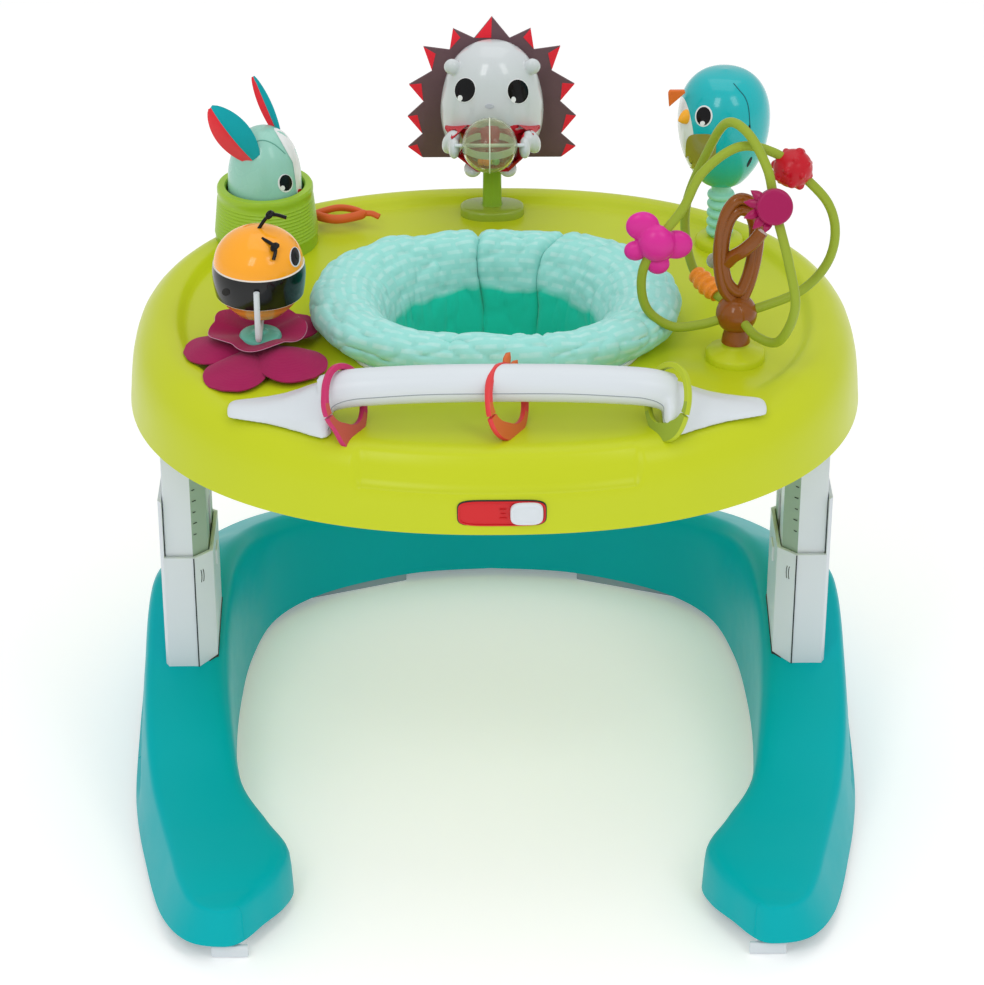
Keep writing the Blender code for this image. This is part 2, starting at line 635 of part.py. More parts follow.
def make_rabbit():
    x, y = RABBIT
    floor = TRAY_TOP + GAP
    turned("rabbit_cup", [(0.0, floor), (0.0485, floor), (0.0445, CUP_TOP - 0.002),
                          (0.0430, CUP_TOP), (0.0380, CUP_TOP), (0.0370, CUP_TOP - 0.003),
                          (0.0400, CUP_TOP - 0.006), (0.0440, floor + 0.004),
                          (0.0, floor + 0.004)], (x, y, 0.0), GREEN, sides=24)
    profile = [(0.0, 0.486), (0.0300, 0.486), (0.0345, 0.500), (0.0350, 0.515), (0.0335, 0.532),
               (0.0285, 0.549), (0.0200, 0.562), (0.0100, 0.5685), (0.0, 0.5700)]
    turned("rabbit_head", profile, (x, y, 0.0), MINT, sides=20)
    ears = (("near", (-0.003, -0.021, 0.5590), (-0.028, -0.028, 0.6010)),
            ("far", (0.008, 0.016, 0.5640), (-0.001, 0.026, 0.6140)))
    for word, root, tip in ears:
        start = Vector((x + root[0], y + root[1], root[2]))
        end = Vector((x + tip[0], y + tip[1], tip[2]))
        widths = (0.003, 0.0085, 0.0100, 0.0070, 0.0020)
        up = (end - start).normalized()
        side = up.cross(Vector((0.0, 1.0, 0.2))).normalized()
        out = up.cross(side)
        rings = []
        for k, width in enumerate(widths):
            spot = start.lerp(end, k / (len(widths) - 1))
            rings.append([spot + side * width * math.cos(a) + out * 0.0025 * math.sin(a)
                          for a in (math.pi * n / 5 for n in range(10))])
        ear = piece("rabbit_ear_" + word, *skin(rings), TEAL, 0.9)
        cut(ear, turned("clear", [(r + GAP, h) for r, h in profile[1:]], (x, y, 0.0003), GREY,
                        sides=20))
    start = Vector((x + 0.0480, y + 0.030, 0.4660))
    path = []
    for k in range(16):
        angle = 2 * math.pi * k / 16
        path.append(start + Vector((0.029 - 0.029 * math.cos(angle), 0.009 * math.sin(angle),
                                    0.001 * math.cos(angle))))
    loop = swept("teether_loop", path, 0.0030, ORANGE, sides=6, closed=True)
    cut(loop, turned("clear", [(0.0, 0.44), (0.0492, 0.44), (0.0492, 0.50), (0.0, 0.50)],
                     (x, y, 0.0), GREY, sides=24))


def make_hedgehog():
    x, y = HOG
    floor = TRAY_TOP + GAP
    plan = rounded_outline(0.030, 0.019, 2.4, 28, (x, y - 0.012))
    inner = rounded_outline(0.009, 0.007, 2.4, 28, (x, y - 0.010))
    rings = [[(*p, floor) for p in plan], [(*p, 0.4600) for p in plan],
             [(*p, 0.4660) for p in inner], [(*p, 0.5040) for p in inner]]
    piece("hedgehog_stem", *skin(rings), GREEN)

    profile = [(0.0, 0.5045), (0.026, 0.5050), (0.040, 0.5150), (0.0475, 0.5330),
               (0.0490, 0.5550), (0.0470, 0.5800), (0.0390, 0.6050), (0.0270, 0.6215),
               (0.0130, 0.6300), (0.0, 0.6320)]
    body = turned("hedgehog_body", profile, (x, y, 0.0), WHITE, sides=24)
    body.data.transform(Matrix.Diagonal((1.0, 0.78, 1.0, 1.0)))
    cut(body, block("back", (-0.1, y + 0.0180, 0.4), (0.1, y + 0.1, 0.7)))
    for _, side in SIDES:
        shoulder = Vector((x + side * 0.0420, y - 0.012, 0.5640))
        hand = Vector((RATTLE[0] + side * 0.0355, RATTLE[1], RATTLE[2]))
        run = smooth_path((shoulder, Vector((x + side * 0.0470, y - 0.032, 0.5540)), hand), 2)
        join(body, swept("arm", run, 0.0080, WHITE, sides=8))
    cut(body, turned("hands", [(0.0, -PIN_HALF - GAP), (PIN_R + GAP, -PIN_HALF - GAP),
                               (PIN_R + GAP, PIN_HALF + GAP), (0.0, PIN_HALF + GAP)], RATTLE,
                     GREY, axis="X", sides=8))
    cut(body, turned("belly", [(0.0, -0.030), (0.0165, -0.030), (0.0165, 0.020), (0.0, 0.020)],
                     (RATTLE[0], y - 0.0255, RATTLE[2]), GREY, axis="Y", sides=16))
    cut(body, turned("seat", ball_profile(RATTLE_R + 0.001, RATTLE_R + 0.001, 16), RATTLE, GREY,
                     sides=16))

    outline = [*SPINES, *((-u, w) for u, w in SPINES[-2::-1])]
    rings = [[(x + u, yy, w) for u, w in outline] for yy in (y + 0.0183, y + 0.0210)]
    piece("hedgehog_spines", *skin(rings), (0.14, 0.08, 0.09), 0.8)

    profile = [(0.0, -0.0215), (0.030, -0.0195), (0.0440, -0.0100), (0.0470, -0.0003),
               (0.0, -0.0003)]
    shell = [(r, -h) for r, h in profile]
    back = turned("hedgehog_back", shell, (x, y + 0.0213, 0.5640), WHITE, axis="Y", sides=20)
    back.data.transform(Matrix.Diagonal((1.0, 1.0, 1.25, 1.0)))

    turned("hedgehog_belly", [(0.0, -0.002), (0.0155, -0.002), (0.0155, 0.0050), (0.0, 0.0050)],
           (RATTLE[0], y - 0.0170, RATTLE[2]), RED, axis="Y", sides=16)


def make_rattle():
    """Clear ball of two halves on a pin between the hedgehog's hands."""
    for word, sign in SIDES:
        outer = []
        inner = []
        for k in range(6):
            angle = math.pi / 2 * k / 5
            for shell, radius in ((outer, RATTLE_R), (inner, RATTLE_R - RATTLE_WALL)):
                shell.append((max(radius * math.cos(angle), PIN_R + GAP),
                              radius * math.sin(angle)))
        ring = [(r, sign * (h + GAP / 2)) for r, h in outer + inner[::-1]]
        turned("rattle_" + word, ring, RATTLE, CLEAR, axis="X", sides=16, ring=True)
    turned("rattle_pin", [(0.0, -PIN_HALF), (PIN_R, -PIN_HALF), (PIN_R, PIN_HALF),
                          (0.0, PIN_HALF)], RATTLE, WHITE, axis="X", sides=8)


def make_bird():
    x, y = BIRD
    floor = TRAY_TOP + GAP
    profile = [(0.0, floor), (0.0230, floor), (0.0210, 0.4590), (0.0105, 0.4610)]
    for k in range(4):
        low = 0.4630 + 0.0094 * k
        profile += [(0.0098, low), (0.0125, low + 0.0040), (0.0115, low + 0.0070)]
    profile.append((0.0098, 0.4980))
    for k in range(7):
        angle = math.radians(-10 + 100 * k / 6)
        profile.append((0.0098 * math.cos(angle), BIRD_PIVOT + 0.0098 * math.sin(angle)))
    turned("bird_bellows", profile, (x, y, 0.0), MINT, sides=14)

    profile = [(0.0, 0.5113), (0.016, 0.5120), (0.0270, 0.5220), (0.0370, 0.5420),
               (0.0420, 0.5640), (0.0430, 0.5850), (0.0400, 0.6050), (0.0320, 0.6220),
               (0.0190, 0.6330), (0.0, 0.6370)]
    body = turned("bird_body", profile, (x, y, 0.0), TEAL, sides=22)
    cut(body, turned("cup", ball_profile(0.0104, 0.0104, 8), (x, y, BIRD_PIVOT), GREY, sides=14))
    body.data.transform(Matrix.Translation((0.0, 0.0, -BIRD_PIVOT)))
    body.location.z = BIRD_PIVOT
    front = Vector((math.cos(math.radians(212)), math.sin(math.radians(212)), 0.0))
    side = Vector((-front.y, front.x, 0.0))
    middle = Vector((x, y, 0.0))
    base = middle + front * 0.0435 + Vector((0.0, 0.0, 0.5900))
    rings = [[base + side * r * math.cos(a) + Vector((0.0, 0.0, r * 1.3 * math.sin(a)))
              + front * reach for a in (math.pi * k / 5 for k in range(10))]
             for r, reach in ((0.0050, -0.004), (0.0045, 0.002), (0.0010, 0.0065))]
    beak = piece("bird_beak", *skin(rings), ORANGE, origin=(x, y, BIRD_PIVOT))
    profile_cut = [(r + GAP, h) for r, h in profile]
    cut(beak, turned("clear", profile_cut, (x, y, 0.0), GREY, sides=22))
    root = middle + front * 0.036
    plan = [root + Vector((0, 0, 0.609)), root + front * 0.016 + Vector((0, 0, 0.619)),
            root + front * 0.007 + Vector((0, 0, 0.600))]
    rings = [[p + side * s for p in plan] for s in (-0.0015, 0.0015)]
    crest = piece("bird_crest", *skin(rings), (0.70, 0.18, 0.02), origin=(x, y, BIRD_PIVOT))
    cut(crest, turned("clear", profile_cut, (x, y, 0.0), GREY, sides=22))


def track_frame(track, index):
    """Place and direction of a bead at one of its track's points."""
    spot = Vector(track[index])
    along = (Vector(track[index + 1]) - Vector(track[index - 1])).normalized()
    return spot, along


def make_maze():
    x, y, z = MAZE
    floor = TRAY_TOP + GAP
    turned("maze_stand", [(0.0, floor), (0.0265, floor), (0.0240, 0.4600),
                           (0.0110, 0.4640), (0.0110, 0.4700), (0.0, 0.4700)],
           (x, y - 0.003, 0.0), LIME, sides=18)
    ball = turned("maze_ball", ball_profile(MAZE_BALL_R, MAZE_BALL_R, 8), MAZE, BROWN, sides=16)
    join(ball, turned("foot", [(0.0, 0.4703), (0.0100, 0.4703), (0.0100, 0.4850), (0.0, 0.4850)],
                      (x, y - 0.003, 0.0), BROWN, sides=14))
    knot_path = []
    for k in range(18):
        angle = 2 * math.pi * k / 18
        knot_path.append((x + 0.0150 * math.sin(angle), y - 0.010 * math.sin(angle),
                          0.5590 - 0.0430 * math.cos(angle)))
    join(ball, swept("knot", knot_path, 0.0068, BROWN, sides=6, closed=True))
    for name, track in (("maze_track_a", TRACK_A), ("maze_track_b", TRACK_B)):
        path = smooth_path(track, 2)
        swept(name, path, TUBE_R, GREEN, sides=6)
        for ends in (path[:4], path[-4:]):
            cut(ball, swept("socket", ends, TUBE_R + 0.0008, GREY, sides=6))
    for name, track, index, half, radius, colour in BEADS:
        spot, along = track_frame(track, index)
        turn = along.to_track_quat("Z", "Y").to_matrix().to_4x4()
        profile = [(0.0, -half), (radius * 0.75, -half), (radius, -half * 0.4),
                   (radius, half * 0.4), (radius * 0.75, half), (0.0, half)]
        bead = turned(name, profile, (0.0, 0.0, 0.0), colour, sides=16)
        bead.data.transform(turn)
        bead.location = spot
        run = smooth_path(track, 2)[2 * index - 4:2 * index + 5]
        cut(bead, swept("bore", run, BEAD_BORE, GREY, sides=8))


def main():
    for old in list(bpy.data.objects):
        bpy.data.objects.remove(old)
    make_base()
    make_pads()
    make_wheels()
    make_posts()
    make_tray()
    make_slider()
    make_push_bar()
    make_links()
    make_seat()
    make_bee()
    make_rabbit()
    make_hedgehog()
    make_rattle()
    make_bird()
    make_maze()


main()
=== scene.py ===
"""Looks of the activity jumper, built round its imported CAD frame. All lengths are in metres."""
import math

import bmesh
import bpy
from mathutils import Matrix, Vector, noise
from mathutils.bvhtree import BVHTree


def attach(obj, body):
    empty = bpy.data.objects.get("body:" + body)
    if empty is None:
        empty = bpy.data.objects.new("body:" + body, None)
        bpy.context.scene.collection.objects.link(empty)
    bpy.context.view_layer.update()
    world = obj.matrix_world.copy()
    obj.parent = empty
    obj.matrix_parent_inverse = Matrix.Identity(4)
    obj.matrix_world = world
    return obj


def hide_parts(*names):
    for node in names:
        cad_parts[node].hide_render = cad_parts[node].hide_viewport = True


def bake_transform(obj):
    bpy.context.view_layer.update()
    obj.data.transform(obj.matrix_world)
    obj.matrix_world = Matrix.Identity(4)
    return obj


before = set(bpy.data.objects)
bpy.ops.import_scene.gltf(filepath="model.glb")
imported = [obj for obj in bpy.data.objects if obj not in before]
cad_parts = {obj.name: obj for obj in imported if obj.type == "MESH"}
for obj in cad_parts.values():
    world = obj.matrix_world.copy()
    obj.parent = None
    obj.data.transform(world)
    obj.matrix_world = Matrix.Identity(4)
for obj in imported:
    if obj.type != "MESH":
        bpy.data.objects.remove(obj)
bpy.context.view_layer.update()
SIDES = (("left", -1), ("right", 1))

# ---------------------------------------------------------------- camera
AZIMUTH = math.radians(-0.6)
ELEVATION = math.radians(30.0)
TARGET = Vector((-0.003, -0.038, 0.295))
DISTANCE = 3.1
SENSOR = 36.0
LENS = 122.36
TOWARDS_CAMERA = Vector((math.sin(AZIMUTH) * math.cos(ELEVATION),
                         -math.cos(AZIMUTH) * math.cos(ELEVATION), math.sin(ELEVATION)))
CAMERA = TARGET + TOWARDS_CAMERA * DISTANCE

# ---------------------------------------------------------------- sizes shared with the CAD
BASE_BOTTOM = 0.010
NOSE_TIP = Vector((0.2430, -0.3570))
NOSE_STEPS = 14
POST_CENTRE = (0.287, -0.014)
# outer edge, inner edge and top height of the right arm, from its near tip to the far middle
BASE_STATIONS = (
    ((0.262, -0.3570), (0.232, -0.3510), 0.052),
    ((0.285, -0.3400), (0.208, -0.3220), 0.057),
    ((0.301, -0.3100), (0.192, -0.2940), 0.060),
    ((0.313, -0.2700), (0.186, -0.2600), 0.062),
    ((0.323, -0.2250), (0.206, -0.2240), 0.066),
    ((0.333, -0.1750), (0.232, -0.1780), 0.078),
    ((0.341, -0.1150), (0.243, -0.1180), 0.104),
    ((0.345, -0.0350), (0.250, -0.0350), 0.128),
    ((0.346, 0.0450), (0.250, 0.0450), 0.146),
    ((0.338, 0.1350), (0.243, 0.1250), 0.142),
    ((0.308, 0.2300), (0.222, 0.1980), 0.121),
    ((0.245, 0.3050), (0.172, 0.2490), 0.106),
    ((0.140, 0.3460), (0.085, 0.2860), 0.098),
    ((0.000, 0.3570), (0.000, 0.2960), 0.096),
)
POST_PLAN = ((0.308, -0.062), (0.279, -0.062), (0.263, -0.047), (0.263, 0.026),
             (0.274, 0.034), (0.301, 0.034), (0.311, 0.024), (0.311, -0.058))
TRAY_HALF = (0.3352, 0.2865)
TRAY_CENTRE_Y = 0.020
TRAY_POWER = 2.25
TRAY_TOP = 0.455
SEAT_CENTRE_Y = -0.008
SEAT_HOLE_R = 0.136
SLOT_Z = 0.404
SKIRT_CURVE = 0.62
TRACK_STEPS = 12
BAR_R = 0.0165
BAR_Y = -0.195
BAR_Z = 0.4965
BEE = Vector((-0.210, -0.048, 0.5300))
BEE_R = 0.0415
RABBIT = (-0.216, 0.174)
CUP_TOP = 0.512
HOG = (0.000, 0.246)
RATTLE = Vector((-0.003, 0.1860, 0.5450))
RATTLE_R = 0.0262
BIRD = (0.216, 0.163)
MAZE = Vector((0.214, -0.068, 0.4950))
TUBE_R = 0.0042
TRACK_A = ((0.203, -0.071, 0.492), (0.182, -0.072, 0.486), (0.156, -0.073, 0.485),
           (0.133, -0.075, 0.505), (0.129, -0.076, 0.540), (0.144, -0.076, 0.573),
           (0.163, -0.075, 0.601), (0.179, -0.073, 0.634), (0.210, -0.070, 0.657),
           (0.242, -0.068, 0.650), (0.266, -0.067, 0.629), (0.290, -0.067, 0.602),
           (0.298, -0.067, 0.572), (0.291, -0.067, 0.541), (0.268, -0.067, 0.515),
           (0.226, -0.069, 0.498))
TRACK_B = ((0.218, -0.080, 0.494), (0.230, -0.100, 0.488), (0.247, -0.124, 0.496),
           (0.258, -0.139, 0.535), (0.252, -0.130, 0.573), (0.240, -0.110, 0.616),
           (0.233, -0.097, 0.648), (0.217, -0.072, 0.671), (0.200, -0.047, 0.669),
           (0.185, -0.023, 0.627), (0.172, -0.002, 0.575), (0.172, -0.001, 0.537),
           (0.182, -0.018, 0.507), (0.208, -0.056, 0.498))


# ---------------------------------------------------------------- materials
def linear(colour):
    """A colour of 0 to 255 as the linear values that shaders take."""
    return tuple((c / 255 / 12.92) if c < 11 else ((c / 255 + 0.055) / 1.055) ** 2.4
                 for c in colour)


def shaded(name, roughness, specular=0.3):
    """A new material, with its node tree, links and Principled shader."""
    made = bpy.data.materials.new(name)
    made.use_nodes = True
    tree = made.node_tree
    shader = tree.nodes["Principled BSDF"]
    shader.inputs["Roughness"].default_value = roughness
    shader.inputs["Specular IOR Level"].default_value = specular
    return made, tree, shader


def node(tree, kind, **values):
    """A new shader node; each value is a property or a socket of it."""
    made = tree.nodes.new(kind)
    for key, value in values.items():
        if hasattr(made, key):
            setattr(made, key, value)
        else:
            made.inputs[key.replace("_", " ")].default_value = value
    return made


def object_noise(tree, scale, detail=2.0):
    """A noise texture that stays on its piece."""
    place = node(tree, "ShaderNodeTexCoord")
    made = node(tree, "ShaderNodeTexNoise", Scale=scale, Detail=detail)
    tree.links.new(place.outputs["Object"], made.inputs["Vector"])
    return made


def tinted(tree, factor, low, high):
    """A blend of two colours by a factor."""
    made = node(tree, "ShaderNodeMix", data_type="RGBA")
    made.inputs[6].default_value = (*low, 1.0)
    made.inputs[7].default_value = (*high, 1.0)
    tree.links.new(factor, made.inputs[0])
    return made.outputs[2]


def uneven(tree, shader, factor, colour, variation):
    """The colour drifts a little to either side, by a factor."""
    base = linear(colour)
    tree.links.new(tinted(tree, factor, [c * (1 - variation) for c in base],
                          [min(c * (1 + variation), 1.0) for c in base]),
                   shader.inputs["Base Color"])


def coated(shader, weight, roughness):
    """A clear coat over the colour."""
    shader.inputs["Coat Weight"].default_value = weight
    shader.inputs["Coat Roughness"].default_value = roughness


def height_share(tree, low, high):
    """0 at one height of the piece and 1 at another."""
    place = node(tree, "ShaderNodeTexCoord")
    split = node(tree, "ShaderNodeSeparateXYZ")
    tree.links.new(place.outputs["Object"], split.inputs["Vector"])
    span = node(tree, "ShaderNodeMapRange")
    span.inputs["From Min"].default_value = low
    span.inputs["From Max"].default_value = high
    tree.links.new(split.outputs["Z"], span.inputs["Value"])
    return span.outputs["Result"]


def bumped(tree, shader, height, strength, distance):
    """Fine relief on the surface, from a height."""
    made = node(tree, "ShaderNodeBump", Strength=strength, Distance=distance)
    tree.links.new(height, made.inputs["Height"])
    tree.links.new(made.outputs["Normal"], shader.inputs["Normal"])


def plastic(name, colour, roughness=0.32, variation=0.04, coat=0.0, grain=0.015, gloss=0.3):
    """Moulded plastic: slight colour drift, uneven polish and a very fine grain."""
    made, tree, shader = shaded(name, roughness, gloss)
    uneven(tree, shader, object_noise(tree, 9.0).outputs["Fac"], colour, variation)
    polish = object_noise(tree, 40.0)
    span = node(tree, "ShaderNodeMapRange")
    span.inputs["To Min"].default_value = roughness * 0.85
    span.inputs["To Max"].default_value = roughness * 1.20
    tree.links.new(polish.outputs["Fac"], span.inputs["Value"])
    tree.links.new(span.outputs["Result"], shader.inputs["Roughness"])
    bumped(tree, shader, object_noise(tree, 700.0).outputs["Fac"], grain, 0.0002)
    coated(shader, coat, 0.08)
    return made


def weave_height(tree, scale):
    """Crossing threads, from two sets of bands."""
    place = node(tree, "ShaderNodeTexCoord")
    bands = []
    for direction in ("X", "Z"):
        band = node(tree, "ShaderNodeTexWave", Scale=scale, Distortion=0.6)
        band.bands_direction = direction
        tree.links.new(place.outputs["Object"], band.inputs["Vector"])
        bands.append(band.outputs["Fac"])
    made = node(tree, "ShaderNodeMath", operation="MAXIMUM")
    tree.links.new(bands[0], made.inputs[0])
    tree.links.new(bands[1], made.inputs[1])
    return made.outputs["Value"]


def cloth(name, colour, variation=0.12, sheen=0.25, roughness=0.85):
    """Woven cloth: uneven dye, a fine weave and a soft sheen."""
    made, tree, shader = shaded(name, roughness, 0.2)
    uneven(tree, shader, object_noise(tree, 55.0, 6.0).outputs["Fac"], colour, variation)
    bumped(tree, shader, weave_height(tree, 320.0), 0.22, 0.0005)
    shader.inputs["Sheen Weight"].default_value = sheen
    shader.inputs["Sheen Roughness"].default_value = 0.5
    return made


def banded(name, colours, heights, roughness=0.15):
    """Glossy plastic in level bands: each colour reaches up to its height."""
    made, tree, shader = shaded(name, roughness)
    low = heights[0] - 0.05
    high = heights[-1] + 0.05
    ramp = node(tree, "ShaderNodeValToRGB")
    ramp.color_ramp.interpolation = "CONSTANT"
    stops = ramp.color_ramp.elements
    while len(stops) < len(colours):
        stops.new(0.5)
    for stop, colour, place_at in zip(stops, colours, (low, *heights)):
        stop.position = (place_at - low) / (high - low)
        stop.color = (*linear(colour), 1.0)
    tree.links.new(height_share(tree, low, high), ramp.inputs["Fac"])
    tree.links.new(ramp.outputs["Color"], shader.inputs["Base Color"])
    bumped(tree, shader, object_noise(tree, 900.0).outputs["Fac"], 0.03, 0.0002)
    coated(shader, 0.2, 0.05)
    return made


def graded(name, low_colour, high_colour, low, high, roughness=0.2):
    """Plastic whose colour drifts from one height to another."""
    made, tree, shader = shaded(name, roughness)
    tree.links.new(tinted(tree, height_share(tree, low, high), linear(low_colour),
                          linear(high_colour)), shader.inputs["Base Color"])
    bumped(tree, shader, object_noise(tree, 1200.0).outputs["Fac"], 0.04, 0.0002)
    coated(shader, 0.4, 0.06)
    return made


def clear(name, colour, roughness=0.03):
    """Clear moulded plastic."""
    made, tree, shader = shaded(name, roughness)
    shader.inputs["Base Color"].default_value = (*linear(colour), 1.0)
    shader.inputs["Transmission Weight"].default_value = 0.92
    shader.inputs["IOR"].default_value = 1.25
    bumped(tree, shader, object_noise(tree, 60.0).outputs["Fac"], 0.03, 0.0005)
    return made


def printed_cloth(name, ground, deep, dash):
    """Seat cloth: rows of pale dashes on the rim, and a plain deeper cloth down in the seat."""
    made, tree, shader = shaded(name, 0.85, 0.15)
    place = node(tree, "ShaderNodeUVMap")
    place.uv_map = "cloth"
    rows = node(tree, "ShaderNodeTexBrick")
    rows.inputs["Scale"].default_value = 1.0
    rows.inputs["Brick Width"].default_value = 0.022
    rows.inputs["Row Height"].default_value = 0.0096
    rows.inputs["Mortar Size"].default_value = 0.0037
    rows.inputs["Mortar Smooth"].default_value = 0.45
    tree.links.new(place.outputs["UV"], rows.inputs["Vector"])
    wash = object_noise(tree, 120.0, 4.0)
    amount = node(tree, "ShaderNodeMath", operation="MULTIPLY_ADD")
    amount.inputs[1].default_value = 0.9
    amount.inputs[2].default_value = -0.15
    tree.links.new(wash.outputs["Fac"], amount.inputs[0])
    gate = node(tree, "ShaderNodeMath", operation="SUBTRACT", use_clamp=True)
    gate.inputs[0].default_value = 1.05
    tree.links.new(rows.outputs["Fac"], gate.inputs[1])
    share = node(tree, "ShaderNodeMath", operation="MULTIPLY", use_clamp=True)
    tree.links.new(gate.outputs["Value"], share.inputs[0])
    tree.links.new(amount.outputs["Value"], share.inputs[1])
    face = tinted(tree, share.outputs["Value"], linear(ground), linear(dash))
    split = node(tree, "ShaderNodeSeparateXYZ")
    tree.links.new(place.outputs["UV"], split.inputs["Vector"])
    span = node(tree, "ShaderNodeMapRange")
    span.inputs["From Min"].default_value = 0.170
    span.inputs["From Max"].default_value = 0.178
    ragged = node(tree, "ShaderNodeMath", operation="MULTIPLY_ADD")
    ragged.inputs[1].default_value = 0.030
    tree.links.new(object_noise(tree, 26.0, 1.0).outputs["Fac"], ragged.inputs[0])
    tree.links.new(split.outputs["Y"], ragged.inputs[2])
    tree.links.new(ragged.outputs["Value"], span.inputs["Value"])
    blend = node(tree, "ShaderNodeMix", data_type="RGBA")
    blend.inputs[7].default_value = (*linear(deep), 1.0)
    tree.links.new(span.outputs["Result"], blend.inputs[0])
    tree.links.new(face, blend.inputs[6])
    tree.links.new(blend.outputs[2], shader.inputs["Base Color"])
    bumped(tree, shader, weave_height(tree, 320.0), 0.18, 0.0005)
    shader.inputs["Sheen Weight"].default_value = 0.2
    return made


# ---------------------------------------------------------------- shapes
def placed(name, mesh):
    """A new object in the scene that shows a mesh."""
    made = bpy.data.objects.new(name, mesh)
    bpy.context.scene.collection.objects.link(made)
    return made


def solid(name, points, faces, material, sharp=40.0):
    """A mesh piece from points and faces, with its normals turned out."""
    mesh = bpy.data.meshes.new(name)
    mesh.from_pydata([tuple(p) for p in points], [], faces)
    form = bmesh.new()
    form.from_mesh(mesh)
    bmesh.ops.remove_doubles(form, verts=form.verts, dist=0.000002)
    bmesh.ops.recalc_face_normals(form, faces=form.faces)
    form.to_mesh(mesh)
    form.free()
    mesh.materials.append(material)
    mesh.shade_smooth()
    mesh.set_sharp_from_angle(angle=math.radians(sharp))
    return placed(name, mesh)


def settled(made, body, slot, *nodes):
    """The piece rides on a body and stands for CAD nodes; its slot is not used."""
    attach(made, body)
    if nodes:
        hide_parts(*nodes)
    return made


def modified(made, kind, **values):
    """A modifier applied at once."""
    step = made.modifiers.new("step", kind)
    for key, value in values.items():
        setattr(step, key, value)
    bpy.context.view_layer.update()
    graph = bpy.context.evaluated_depsgraph_get()
    mesh = bpy.data.meshes.new_from_object(made.evaluated_get(graph))
    made.modifiers.clear()
    made.data = mesh
    return made


def hollowed(made, wall):
    """An open skin given a wall on its inner side."""
    middle = sum((v.co for v in made.data.vertices), Vector()) / len(made.data.vertices)
    outward = sum(f.normal.dot(f.center - middle) * f.area for f in made.data.polygons)
    if outward < 0:
        made.data.flip_normals()
    return modified(made, "SOLIDIFY", thickness=wall, offset=-1.0)


def smoothed(made, sharp=40.0):
    """Smooth shading, with edges past an angle kept sharp."""
    made.data.shade_smooth()
    made.data.set_sharp_from_angle(angle=math.radians(sharp))
    return made


def merged(name, parts, material, voxel=0.0016, rounds=4):
    """Overlapping closed parts fused into one moulded skin with soft joins."""
    form = bmesh.new()
    for part in parts:
        form.from_mesh(part.data)
        bpy.data.objects.remove(part)
    mesh = bpy.data.meshes.new(name)
    form.to_mesh(mesh)
    form.free()
    made = placed(name, mesh)
    modified(made, "REMESH", mode="VOXEL", voxel_size=voxel, use_smooth_shade=True)
    modified(made, "SMOOTH", factor=0.5, iterations=rounds)
    made.data.materials.clear()
    made.data.materials.append(material)
    made.data.shade_smooth()
    return made


def skin(rings, closed=False, capped=True):
    """Faces between rings of equal point count."""
    count = len(rings[0])
    total = len(rings)
    faces = []
    for r in range(total if closed else total - 1):
        low = r * count
        high = (r + 1) % total * count
        for i in range(count):
            j = (i + 1) % count
            faces.append((low + i, low + j, high + j, high + i))
    if capped and not closed:
        faces.append(tuple(range(count)))
        faces.append(tuple(range((total - 1) * count, total * count)))
    return [p for ring in rings for p in ring], faces


def sheet_faces(rows, columns):
    """Faces of an open grid of points."""
    return [(r * columns + c, r * columns + c + 1, (r + 1) * columns + c + 1,
             (r + 1) * columns + c) for r in range(rows - 1) for c in range(columns - 1)]


def smooth_path(points, per_span=8, closed=False):
    """A Catmull-Rom curve through given points."""
    spots = [Vector(p) for p in points]
    count = len(spots)
    path = []
    for i in range(count if closed else count - 1):
        if closed:
            a, b, c, d = (spots[(i + k) % count] for k in (-1, 0, 1, 2))
        else:
            a, b, c, d = (spots[max(i - 1, 0)], spots[i], spots[i + 1],
                          spots[min(i + 2, count - 1)])
        for k in range(per_span):
            t = k / per_span
            path.append(0.5 * (2 * b + (c - a) * t + (2 * a - 5 * b + 4 * c - d) * t ** 2
                               + (3 * b - a - 3 * c + d) * t ** 3))
    if not closed:
        path.append(spots[-1])
    return path


def swept(name, path, radius, material, sides=14, closed=False, flat=1.0, wave=None):
    """A round section along a path; wave(k, angle) scales the radius."""
    spots = [Vector(p) for p in path]
    count = len(spots)
    tangents = []
    for i in range(count):
        ahead = spots[(i + 1) % count] if closed or i + 1 < count else spots[i]
        behind = spots[i - 1] if closed or i > 0 else spots[i]
        tangents.append((ahead - behind).normalized())
    side = tangents[0].orthogonal().normalized()
    rings = []
    for k, (spot, tangent) in enumerate(zip(spots, tangents)):
        side = (side - tangent * side.dot(tangent)).normalized()
        up = tangent.cross(side)
        ring = []
        for n in range(sides):
            a = 2 * math.pi * n / sides
            reach = radius * (wave(k, a) if wave else 1.0)
            ring.append(spot + side * (reach * math.cos(a)) + up * (reach * flat * math.sin(a)))
        rings.append(ring)
    return solid(name, *skin(rings, closed), material, 60.0)


def turned(name, profile, centre, material, axis="Z", sides=64, soft=1, sharp=40.0, ring=False):
    """A profile of (radius, height) turned about an axis; soft adds points between its own."""
    if soft > 1:
        profile = [(p.x, p.y) for p in smooth_path([Vector((r, h)) for r, h in profile], soft)]
    order = {"Z": (0, 1, 2), "Y": (0, 2, 1), "X": (1, 2, 0)}[axis]
    rings = []
    for radius, height in profile:
        circle = []
        for i in range(sides):
            angle = 2 * math.pi * i / sides
            spot = [0.0, 0.0, 0.0]
            spot[order[0]] = max(radius, 0.000004) * math.cos(angle)
            spot[order[1]] = max(radius, 0.000004) * math.sin(angle)
            spot[order[2]] = height
            circle.append(Vector(spot) + Vector(centre))
        rings.append(circle)
    return solid(name, *skin(rings, closed=ring), material, sharp)


def ball_profile(radius, half_height, steps=32):
    """Half an ellipse from pole to pole, for turned."""
    angles = [math.pi * (i / steps - 0.5) for i in range(steps + 1)]
    return [(radius * math.cos(a), half_height * math.sin(a)) for a in angles]


